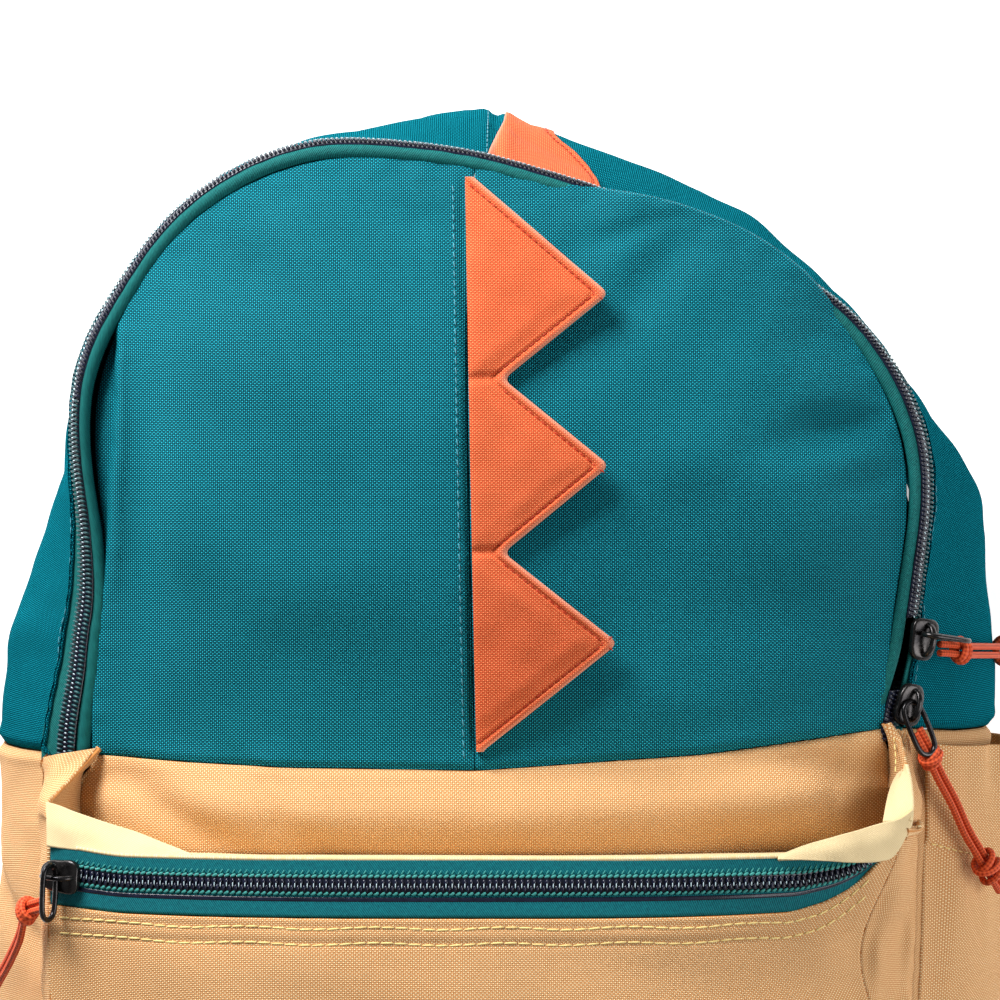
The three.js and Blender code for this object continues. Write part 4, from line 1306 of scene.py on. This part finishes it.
def pocket_gusset():
    """Ruled from the hem of the side wall to the pocket's edge. At each end its top climbs along the corner
    fold to the end of the main zip; in between it crumples."""
    left, right = 50, 60
    degrees = np.r_[np.linspace(180.3, 187.4, left), np.linspace(187.6, 349.4, 300),
                    np.linspace(349.6, 359.7, right)]
    hem = wall_surface(degrees, np.ones_like(degrees)) + [0, 0, 0.6]
    rim = pocket_rim(degrees)
    rim[:left] = curve_through(np.vstack([LEFT_FOLD, rim[left]]), left + 1)[:-1]
    rim[-right:] = curve_through(np.vstack([rim[-right - 1], RIGHT_FOLD]), right + 1)[1:]
    v = np.linspace(0, 1, 28)[:, None]
    points = hem + (rim - hem) * v[..., None]
    away = np.stack([np.cos(np.radians(degrees)), np.sin(np.radians(degrees)), 0 * degrees], -1)
    still = np.sin(math.pi * v)
    full = smooth_step(degrees, 318, 330) * (1 - smooth_step(degrees, 350, 356))
    crumple = (1.2 + 2.0 * full) * ripple(degrees * 2.4, 26 * v, 19, 41) + 1.5
    heave = 1.4 * full + 1.2 * ripple(degrees * 2.4, 26 * v, 15, 43)
    points += away * (crumple * still)[..., None] + UP * (still * heave)[..., None]
    points[..., 2] += folds(points[..., 0], points[..., 1], GUSSET_FOLDS) * still
    ends = 1 - smooth_step(degrees, 181, 184) + smooth_step(degrees, 357, 359.7)
    points += UP * (2.2 * still * ends)[..., None]
    weave = np.stack([arc_length(points, 1)[14] + 0 * points[..., 0], arc_length(points, 0)], -1)
    cloth_panel("pocket_gusset_cloth", points, weave, tan_cloth, ["pocket_gusset"], thick=1.2)


pocket_gusset()
print("gusset folds:", len(GUSSET_FOLDS))

# %% [markdown]
# A pale wall closes the pocket's top behind the zip tape, so that only its edge is seen from the front.
# At both ends it turns over, and corners of tan cloth and pale facing fold across it. Each is a small
# net of places read from the picture, with a smooth surface through them; no formula would find such
# chance folds.


# %% Pocket top wall and corner folds
def pocket_top():
    """Ruled down from the zip tape to the front panel; only its pale edge shows above the tape."""
    u, v = grid(260, 16)
    across = 0.93 - 1.86 * u
    top = pocket_point(across, -27.45)
    x = top[..., 0]
    base = np.stack([x, top[..., 1] - 2.0, front_height(x, top[..., 1] - 2.0) + 0.6], -1)
    points = base + (top - base) * v[..., None]
    weave = np.stack([points[..., 0], arc_length(points, 0)], -1)
    cloth_panel("pocket_top_cloth", points, weave, lining_cloth, ["pocket_top"], thick=1.0,
                middle=(CROSS_X, -60, 90))


def draped(name, net, finish, sway=0.3):
    """A small panel of cloth through a net of places in millimetres, with slight swells."""
    net = np.array(net, float)
    points = curve_through(curve_through(net, 26).swapaxes(0, 1), 90).swapaxes(0, 1)
    points[..., 2] += sway * ripple(points[..., 0], points[..., 1], 9, 44)
    weave = np.stack([arc_length(points, 1)[13] + 0 * points[..., 0], arc_length(points, 0)], -1)
    cloth_panel(name, points, weave, finish, thick=1.0, middle=(CROSS_X, -20, 20))


pocket_top()
draped("corner_fold_left", [
    [[-117.4, -1.3, 114.5], [-120.8, -5, 118.5], [-123.9, -8.9, 125], [-127, -12.3, 131],
     [-129.1, -14.9, 136]],
    [[-117.3, -1.5, 112.6], [-120.2, -5, 114.2], [-123.5, -8.7, 116.8], [-125.3, -13.2, 119.2],
     [-126.3, -17.5, 122.1]],
    [[-117.3, -1.7, 113.6], [-119.7, -4.9, 112.7], [-123, -8.4, 111.5], [-123.7, -14.2, 110.3],
     [-123.6, -20.1, 111]],
], tan_cloth)
draped("corner_facing_left", [
    [[-129, -14.3, 137.5], [-124.8, -15.4, 138.5], [-120.2, -17, 140], [-112, -19.5, 142],
     [-102.1, -22.3, 144.5], [-94.1, -25.1, 147], [-87.3, -27.4, 150]],
    [[-128.5, -20.3, 140], [-124.2, -21.3, 141], [-119.3, -21.9, 142.5], [-111.1, -23.8, 144.5],
     [-101.2, -25.1, 147], [-93.4, -26.6, 149], [-87.2, -27.9, 150.8]],
    [[-128.2, -26.2, 141], [-123.7, -26.8, 142.3], [-118.6, -27.1, 144.2], [-110, -27.6, 146.8],
     [-100.2, -28.1, 149], [-92.7, -28.2, 150.4], [-87.2, -28.3, 151.3]],
], lining_cloth)
draped("corner_fold_right", [
    [[105.5, 5.6, 112.6], [107.2, 0.8, 112.8], [108.3, -4, 110.5], [108.7, -8.5, 108.4],
     [108.3, -13.3, 108.4]],
    [[106.3, 5.4, 113.1], [108.8, 1, 113.8], [109.8, -3.2, 114.3], [110.2, -7.8, 115], [110, -12.5, 117.3]],
    [[107.2, 5.3, 112.5], [110.4, 1.1, 113.5], [111.4, -2.5, 117], [111.8, -7.1, 120.5],
     [111.8, -11.7, 125]],
], tan_cloth)
draped("corner_flap_right", [
    [[110.9, -7.7, 113.5], [108.5, -11.1, 116.5], [106.8, -14.1, 120], [105.1, -16.7, 126],
     [102.5, -20.6, 137]],
    [[111.3, -6.8, 117], [109.8, -10.1, 121], [108.6, -13.6, 126], [107.6, -16.7, 131.5],
     [106.3, -20.5, 137.5]],
    [[111.7, -5.4, 120.5], [112.1, -9, 124], [112, -12.5, 128.5], [111.6, -15.9, 133.5], [110.5, -20, 137]],
], lining_cloth)
draped("corner_facing_right", [
    [[72.2, -27.7, 151], [79.1, -25.1, 150.5], [85.5, -23.4, 149], [93.6, -21.5, 146.5],
     [101.7, -19.8, 141.5], [107.3, -18.7, 139.5], [111.2, -16.5, 136]],
    [[72.2, -28.1, 151.5], [79, -26.9, 151.5], [85.6, -26.1, 150.5], [93.8, -25.6, 148],
     [101.1, -24.8, 143.5], [106.4, -23.6, 140], [111, -19, 136.5]],
    [[72.1, -28.5, 152], [78.9, -28.8, 152], [85.8, -29.3, 150.8], [94.1, -30.1, 147.8],
     [100.9, -30.2, 143.5], [105.6, -28.9, 139.5], [110.6, -21.2, 136.5]],
], lining_cloth)
hem = curve_through(np.array([[108.1, 3.7, 113], [108.4, -0.4, 115], [108.3, -4.4, 118.3],
    [107.7, -8.6, 122]]), 60)
stitches("corner_stitches_right", hem + [0, 0, 0.5], UP, 2.6, 0.75, 0.4, cream_thread)
print("corner pieces: 5")

# %% [markdown]
# The bottle pocket at the right is a panel sewn flat along three sides and loose at its mouth, where a
# casing holds elastic that draws it into pleats. The panel is the side wall moved outwards, by most in
# the middle of the mouth; a separate shape would have to be fitted back to the wall along its seams.


# %% Side pocket
CASING_PLACE = 0.232


def side_pocket():
    """A panel that stands off the side wall at its mouth, gathered by the casing at its top edge."""
    u, v = grid(120, 190)
    degrees = -1.6 - 49.4 * v
    z = 12 + 88 * u
    stand = (1.0 + 7.5 * np.sin(math.pi * u) ** 0.7 * (1 - v) ** 0.8) * (1 - smooth_step(u, 0.9, 1.0))
    casing = 1.0 * (1 - smooth_step(v, 0.225, 0.25)) - 0.7 * bell(v - CASING_PLACE, 0.008)
    pleats = 1.3 * ripple(z, 30 * v, 15, 51) * bell(v, 0.4) - 2.4 * bell(z - 78, 4) * bell(v, 0.1)
    radius = body_radius(degrees, z) + 0.5 + stand + casing + pleats * (1 - smooth_step(u, 0.92, 1.0))
    points = polar(degrees, radius, z)
    weave = np.stack([z, arc_length(points, 0)], -1)
    cloth_panel("side_pocket_cloth", points, weave, tan_cloth, ["side_pocket"], thick=1.2)
    row = points[int(CASING_PLACE * 189), 30:118]
    stitches("casing_stitches", row, [0.7, 0.0, 0.7], 2.8, 0.75, 0.4, cream_thread, sunk=-0.2)


side_pocket()
print("side pocket done")

# %% [markdown]
# Each spike is two layers of cloth sewn together and turned right side out, so its free edge is a soft
# roll with a row of topstitches just inside. The three are one strip caught in the middle seam. A
# bevelled flat plate would look like card, so the thickness here swells from the stitch line to the
# rolled edge.

# %% Spikes
# Points and notches of the free edge, from below: y, x
SPIKE_EDGE = np.array([[-1.2, -8.8], [29.5, 29.2], [54.5, -2.4], [78.5, 26.8], [102.5, -2.4], [126.5, 27.0],
                       [161.2, -11.6]])


def spike_reach(y):
    """The zigzag edge, with its points and notches rounded by averaging over a short window."""
    window = np.linspace(-1.5, 1.5, 9)
    return sum(read_table(SPIKE_EDGE, y + shift) for shift in window) / len(window)


def spike_seam(y):
    """The strip starts just right of the centre seam that holds it."""
    return seam_x(y) + 0.5


def spike_lift(x, y):
    """The strip rises off the front towards its free edge."""
    return 0.5 + 5 * (np.maximum(x - spike_seam(y), 0) / 38) ** 0.8


def spike_skin(x, y, away):
    """Height of the upper layer: the front, a lift that grows away from the seam, and the rolled edge."""
    body = 1.5 * quarter_round(away / 1.6) - 0.55 * bell(away - 2.5, 0.55)
    plump = 0.8 * smooth_step(away, 3, 9)
    for notch in SPIKE_EDGE[[2, 4], 0]:
        plump = plump - bell(y - notch - 0.1 * (x - spike_seam(y)), 1.3) * smooth_step(away, 0.6, 3)
    swell = 0.35 * ripple(x, y, 16, 61) * smooth_step(away, 3, 8)
    return front_height(x, y) + spike_lift(x, y) + body + plump + swell


def spike_strip():
    """A grid from the seam to the free edge, and back beneath it as the lower layer."""
    u, v = grid(90, 420)
    y = -0.8 + 161.4 * v
    seam, reach = spike_seam(y), np.maximum(spike_reach(y), spike_seam(y) + 0.6)
    share = 1 - (1 - u) ** 1.6
    x = seam + (reach - seam) * share
    away = (reach - x) * 0.66
    top = np.stack([x, y, spike_skin(x, y, away)], -1)
    under = np.stack([x, y, front_height(x, y) + spike_lift(x, y) - 0.05], -1)
    points = np.concatenate([top, under[:, ::-1][:, 1:]], 1)
    # Edge is 1 along the rolled free edge, where the cloth is painted paler as a highlight
    edge = np.concatenate([bell(away, 0.9), 0 * under[:, 1:, 0]], 1)
    faces = [grid_faces(*points.shape[:2], around=True)]
    piece = make_mesh("spikes", points, faces, orange_cloth, points[..., :2], edge=edge)
    tidy_mesh(piece)
    settle(piece, ["spike_strip"])


def edge_row(name, inset, first, last):
    """Topstitches along one straight side of a spike, a set distance inside its free edge."""
    (y0, x0), (y1, x1) = SPIKE_EDGE[first], SPIKE_EDGE[last]
    t = np.linspace(0.02, 0.98, 160)
    length = math.hypot(x1 - x0, y1 - y0)
    x = x0 + (x1 - x0) * t - inset * abs(y1 - y0) / length
    y = y0 + (y1 - y0) * t + inset * (x1 - x0) / length
    keep = x > spike_seam(y) + 1.2
    x, y = x[keep], y[keep]
    line = np.stack([x, y, spike_skin(x, y, np.full(len(x), inset)) + 0.25], 1)
    stitches(name, line, UP, 2.3, 0.72, 0.5, rust_thread)


spike_strip()
for n in range(6):
    edge_row(f"spike_topstitch_{n}", 2.5, n, n + 1)
print("spike reach:", round(float(SPIKE_EDGE[:, 1].max()), 1), "mm")

# %% [markdown]
# A fourth spike is caught in the seam over the top, where the wall turns away from the picture, so it is
# seen nearly edge on. It lies on the wall, so its place is given in degrees and in climb up the wall.


# %% Top spike
# Columns: climb, degrees of the free edge, degrees of the seam
SPIKE_SIDES = np.array([[0.4, 82.6, 87.4], [0.62, 82.8, 87.4], [0.67, 82.6, 87.5], [0.71, 81.8, 87.8],
                        [0.75, 80.4, 87.9],
                        [0.8, 78.9, 88.2], [0.85, 78.0, 88.5], [0.9, 77.6, 88.8], [1.02, 77.3, 88.9]])


SPIKE_MM_PER_DEGREE, TOPSTITCH_INSET = 3.2, 2.6


def top_spike_point(u, climb, proud):
    """u runs from the free edge back to the seam; climb goes up the wall from the belly to the zip."""
    free, seam = (read_table(SPIKE_SIDES, climb, column) for column in (1, 2))
    degrees = free + (seam - free) * u
    flat = u * (seam - free) * SPIKE_MM_PER_DEGREE
    rolled = 1.4 * quarter_round(flat / 1.4) - 0.5 * bell(flat - TOPSTITCH_INSET, 0.55)
    stand = 0.4 + rolled * (1 - u) ** 0.6 * (0.3 + 0.7 * smooth_step(climb, 0.6, 0.75))
    stand = stand * proud * (1 - smooth_step(climb, 0.95, 1.0) * 0.8)
    return wall_surface(degrees, climb, [GUSSET_SEAM], stand)


def top_spike():
    """Two layers, the lower one close to the wall, joined along the free edge and the seam."""
    u, v = grid(70, 120)
    climb = 0.44 + 0.56 * v
    outer, inner = top_spike_point(u, climb, 1.0), top_spike_point(u, climb, 0.1)
    points = np.concatenate([outer, inner[:, ::-1]], 1)
    run = np.concatenate([arc_length(outer, 0), arc_length(inner, 0)[:, ::-1]], 1)
    # Edge is 1 along the rolled free edge, where the cloth is painted paler as a highlight
    edge = np.concatenate([bell((1 - u) * 34, 1), 0 * u], 1)
    faces = [grid_faces(*points.shape[:2], around=True)]
    weave = np.stack([points[..., 0], run], -1)
    piece = make_mesh("top_spike_cloth", points, faces, orange_cloth, weave, edge=edge)
    tidy_mesh(piece)
    settle(piece, ["top_spike"])


top_spike()
climb = np.linspace(0.5, 1.0, 120)
span = read_table(SPIKE_SIDES, climb, 2) - read_table(SPIKE_SIDES, climb, 1)
line = top_spike_point(TOPSTITCH_INSET / SPIKE_MM_PER_DEGREE / span, climb, 1.3)
stitches("top_spike_topstitch", line, [0.0, 0.7, 0.7], 2.3, 0.72, 0.5, rust_thread)
print("top spike length:", round(float(arc_length(line, 0)[-1]), 1), "mm")

# %% [markdown]
# Sliders and pulls are small plated castings. A slider is a rounded plate, blunt at the nose and
# narrower at the tail, with a bent bar across its top that holds the pull. The plate is one superellipse
# shell and the bar a tube with a flat section; a box with bevels would miss the waisted plan.


# %% Zip sliders and pull rings
def axes(travel, normal):
    """Three square directions as the columns of an array: travel, side, and away from the bag."""
    travel = travel / np.linalg.norm(travel)
    side = np.cross(normal, travel)
    side /= np.linalg.norm(side)
    return np.stack([travel, side, np.cross(travel, side)], 1)


def zip_frame(degrees):
    """Place and axes on the main zip: travel, inward, and away from the bag."""
    def at(d):
        radius, angle = zip_radius(d) + 0.25, math.radians(d)
        return np.array([CROSS_X + radius * math.cos(angle), CROSS_Y + radius * math.sin(angle), 109.95])

    travel = at(degrees + 0.5) - at(degrees - 0.5)
    travel /= np.linalg.norm(travel)
    normal = np.array([travel[1], -travel[0], 0]) * 0.526 + np.array([0, 0, 0.85])
    return at(degrees), axes(travel, normal)


def pocket_frame(across):
    """Place and axes on the pocket's zip."""
    def at(a):
        return pocket_point(np.array(a, float), -35.6) + [0, 0, 1]

    travel = at(across + 0.01) - at(across - 0.01)
    return at(across), axes(travel, np.cross(travel, [0, 1.0, 0]))


def put(points, place):
    """Moves points from a slider's own axes to the bag."""
    return place[0] + points @ place[1].T


def slider(name, place, nose):
    """Plate: x and y by a superellipse whose half-width narrows to the tail; z a rounded edge."""
    t, p = grid(72, 26)
    turn, lean = t * 2 * math.pi, (p - 0.5) * math.pi
    flat = blunt(np.cos(lean), 0.35)
    x = 6.0 * blunt(np.cos(turn), 0.6) * flat
    wide = 4.9 - 1.1 * smooth_step(-x * nose, 0, 6) - 0.5 * bell(x, 2.2)
    y = wide * blunt(np.sin(turn), 0.5) * flat
    z = 0.6 + 1.25 * blunt(np.sin(lean), 0.5) + 0.35 * bell(y, 2.0) * (lean > 0)
    points = put(np.stack([x, y, z], -1).reshape(-1, 3), place).reshape(*x.shape, 3)
    plate = make_mesh(f"slider_{name}_body", points[:, :-1], [grid_faces(26, 71, around=True)], dark_metal)
    tidy_mesh(plate)
    settle(plate, [f"slider_{name}"])
    arch = np.linspace(0, math.pi, 40)
    bar = np.stack([4.3 * np.cos(arch), 0 * arch, 1.4 + 3.9 * np.sin(arch) ** 0.75], 1)
    bridge = tube(f"slider_{name}_bridge", put(bar, place), 0.75, dark_metal, 12, squash=1.3)
    settle(bridge)


def pull_ring(name, place, at, turn, roll, raised=0.0):
    """A stadium of round wire, two half circles joined by straights, rolled and then turned about Z."""
    t = np.linspace(0, 2 * math.pi, 96, endpoint=False)
    side, straight = 3.15, 4.35
    reach = 7.5 + side * np.cos(t) + straight * np.tanh(3 * np.cos(t)) / math.tanh(3)
    loop = np.stack([reach, side * np.sin(t), raised * reach / 15], 1)
    c, s = math.cos(math.radians(roll)), math.sin(math.radians(roll))
    loop = loop @ np.array([[1, 0, 0], [0, c, s], [0, -s, c]])
    c, s = math.cos(math.radians(turn)), math.sin(math.radians(turn))
    loop = loop @ np.array([[c, s, 0], [-s, c, 0], [0, 0, 1]]) + at
    ring = tube(f"ring_{name}", put(loop, place), 0.78, dark_metal, 10, closed=True)
    settle(ring, [f"pull_ring_{name}"])


places = {"upper": zip_frame(SLIDER_UPPER - 1.5), "lower": zip_frame(SLIDER_LOWER + 1.6),
          "pocket": pocket_frame(-0.965)}
for name, nose in (("upper", 1), ("lower", -1), ("pocket", 1)):
    slider(name, places[name], nose)
pull_ring("upper", places["upper"], [1.6, 3.6, 5.95], -90, 90)
pull_ring("lower", places["lower"], [0.6, 2.0, 2.8], 212, 0, raised=5.0)
pull_ring("pocket", places["pocket"], [0.0, 3.6, 5.95], -90, 90)
print("sliders:", len(places))

# %% [markdown]
# The back carries a padded panel and two shoulder straps, folded flat beneath the bag. Padding swells
# between its seams, so each pad is a grid whose thickness follows a rounded profile; a pressure
# simulation would do as well, but these lie squeezed under the bag, so their shape is the flat one that
# the weight gives them.

# %% Back panel
BACK_EDGE_Z, BACK_RISE, PADDING = 1.5, 14.0, 7.0


def back_shape(share):
    """Height of the back's underside: its edge plus a rise times 1 less the share to the tenth power."""
    return BACK_EDGE_Z + BACK_RISE * (1 - share**10)


def back_height(x, y):
    """Height of the back's underside at a place."""
    degrees = np.degrees(np.arctan2(y - CROSS_Y, x - CROSS_X))
    share = np.hypot(x - CROSS_X, y - CROSS_Y) / (body_radius(degrees, 0.0) - 2.75)
    return back_shape(np.minimum(share, 1))


def back_panel():
    """Two skins of a flat dome, quilted by shallow channels on the side that meets the wearer."""
    u, v = grid(241, 90)
    share = np.sin(v * math.pi / 2)
    radius = share * (body_radius(360 * u, 0.0) - 2.75)
    angle = np.radians(360 * u)
    x, y = CROSS_X + radius * np.cos(angle), CROSS_Y + radius * np.sin(angle)
    low = back_shape(share)
    channel = 1.2 * bell(np.abs(x - CROSS_X) - 40, 3) + 1.2 * bell((y + 4.5) % 60 - 30, 3)
    under = np.stack([x, y, low + channel * smooth_step(share * -1, -0.9, -0.7)], -1)
    over = np.stack([x, y, low + PADDING * (0.25 + 0.75 * np.sqrt(np.clip(1 - share**12, 0, 1)))], -1)
    points = np.concatenate([over, under[::-1]], 0)[:, :-1]
    faces = [grid_faces(180, 240, around=True)]
    piece = make_mesh("back_panel_pad", points, faces, mesh_cloth, points[..., :2])
    tidy_mesh(piece)
    settle(piece, ["back_panel"])


back_panel()
print("back padding:", PADDING, "mm")

# %% [markdown]
# A strap is a padded part, a lock and flat webbing down to the base, and a loop hangs at the top. Each
# is a ribbon with a blunt oval section carried along a line, because its width stays the same round
# every bend. The locks keep their CAD solids, which already have the right shape.


# %% Straps and loop
def ribbon(name, line, width, low, thick, finish, nodes, soft=0.0, across_count=40):
    """A flat strap of rounded section: z = middle plus half the thickness times a rounded profile."""
    tangent = np.gradient(line, axis=0)
    tangent[:, 2] = 0
    tangent /= np.linalg.norm(tangent, axis=1)[:, None]
    aside = np.stack([-tangent[:, 1], tangent[:, 0], 0 * tangent[:, 0]], 1)
    around = np.linspace(0, 2 * math.pi, across_count, endpoint=False)
    power = 0.5 if soft else 0.25
    flat, rise = blunt(np.cos(around), power), blunt(np.sin(around), power)
    points = line[:, None] + aside[:, None] * (flat * width / 2)[None, :, None]
    height = low[:, None] + thick / 2 + (thick / 2) * rise[None, :]
    if soft:
        piping = soft * bell(np.abs(flat) - 0.84, 0.05)
        swell = 0.4 * soft * ripple(points[..., 0], points[..., 1], 22, 71)
        height = height + (swell - piping) * (rise > 0)
    points[..., 2] = np.maximum(height, 0.0)
    run = arc_length(line[:, :2], 0)
    weave = np.stack(np.broadcast_arrays((around / (2 * math.pi) * 2 * width)[None, :], run[:, None]), -1)
    count, sides = points.shape[:2]
    faces = [grid_faces(count, sides, around=True), end_faces(count, sides)]
    piece = make_mesh(name, points, faces, finish, weave)
    tidy_mesh(piece)
    return settle(piece, nodes)


PAD_LINE = np.array([[36, 115, 0], [55, 82, 0], [62, 28, 0], [68, -28, 0], [98, -136, 0]], float)
LOCK_LENGTH = 20.0
for name, sign in (("left", -1), ("right", 1)):
    route = PAD_LINE * [sign, 1, 1]
    line = smooth_line(route, 400)
    end = np.argmin(np.abs(line[:, 1] + 28))
    pad_line = line[: end + 1 : 3]
    v = np.linspace(0, 1, len(pad_line))
    under = np.minimum(back_height(pad_line[:, 0] + sign * 10, pad_line[:, 1]) - 0.9, 12.0) - 8.0
    low = under + (0.0 - under) * smooth_step(v, 0, 0.2)
    pad = ribbon(f"shoulder_pad_{name}_soft", pad_line, 48.0, np.maximum(low, 0.0), 8.0, mesh_cloth,
                 [f"shoulder_pad_{name}"], soft=1.0)
    down = line[end] - line[end - 4]
    down /= np.linalg.norm(down)
    start = line[end] + down * (LOCK_LENGTH + 1.9)
    stop = np.array([sign * 94.0, -128.0, 0.0])
    web = start + (stop - start) * np.linspace(0, 1, 120)[:, None]
    rise = np.minimum(back_height(web[:, 0], web[:, 1]) - 0.9 - 1.8, 12.0)
    t = smooth_step(np.linspace(0, 1, 120), 0.7, 1)
    ribbon(f"strap_webbing_{name}_woven", web, 24.0, 0.4 * (1 - t) + rise * t, 1.8, strap_web,
           [f"strap_webbing_{name}"])
    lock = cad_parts[f"strap_lock_{name}"]
    lock.data.materials.clear()
    lock.data.materials.append(black_plastic)

turn = np.linspace(math.pi, 2 * math.pi, 60)
bow = np.stack([13 * np.cos(turn), 129 + 13 * np.sin(turn), 0 * turn], 1)
down = np.linspace(159, 130, 30)
legs = [np.stack([np.full(30, x), y, np.zeros(30)], 1) for x, y in ((-13.0, down), (13.0, down[::-1]))]
haul = np.concatenate([legs[0], bow, legs[1]])
ribbon("haul_loop_woven", haul, 10.0, np.full(len(haul), 2.0), 2.0, strap_web, ["haul_loop"])

print("straps: 2, loops: 1")

# %% [markdown]
# The floor is a plain pale sheet that glows a little, as a lit white table does, so that it stays white.
# Brighter lamps would do that too, but wash out the bag.

# %% Floor and finish
bpy.ops.mesh.primitive_plane_add(size=8.0, location=(0, 0, 0))
floor = bpy.context.object
floor.name = "floor"
floor.data.materials.append(floor_white)
glow = floor_white.node_tree.nodes["Principled BSDF"]
glow.inputs["Emission Color"].default_value = (1.0, 1.0, 1.0, 1.0)
glow.inputs["Emission Strength"].default_value = 0.5
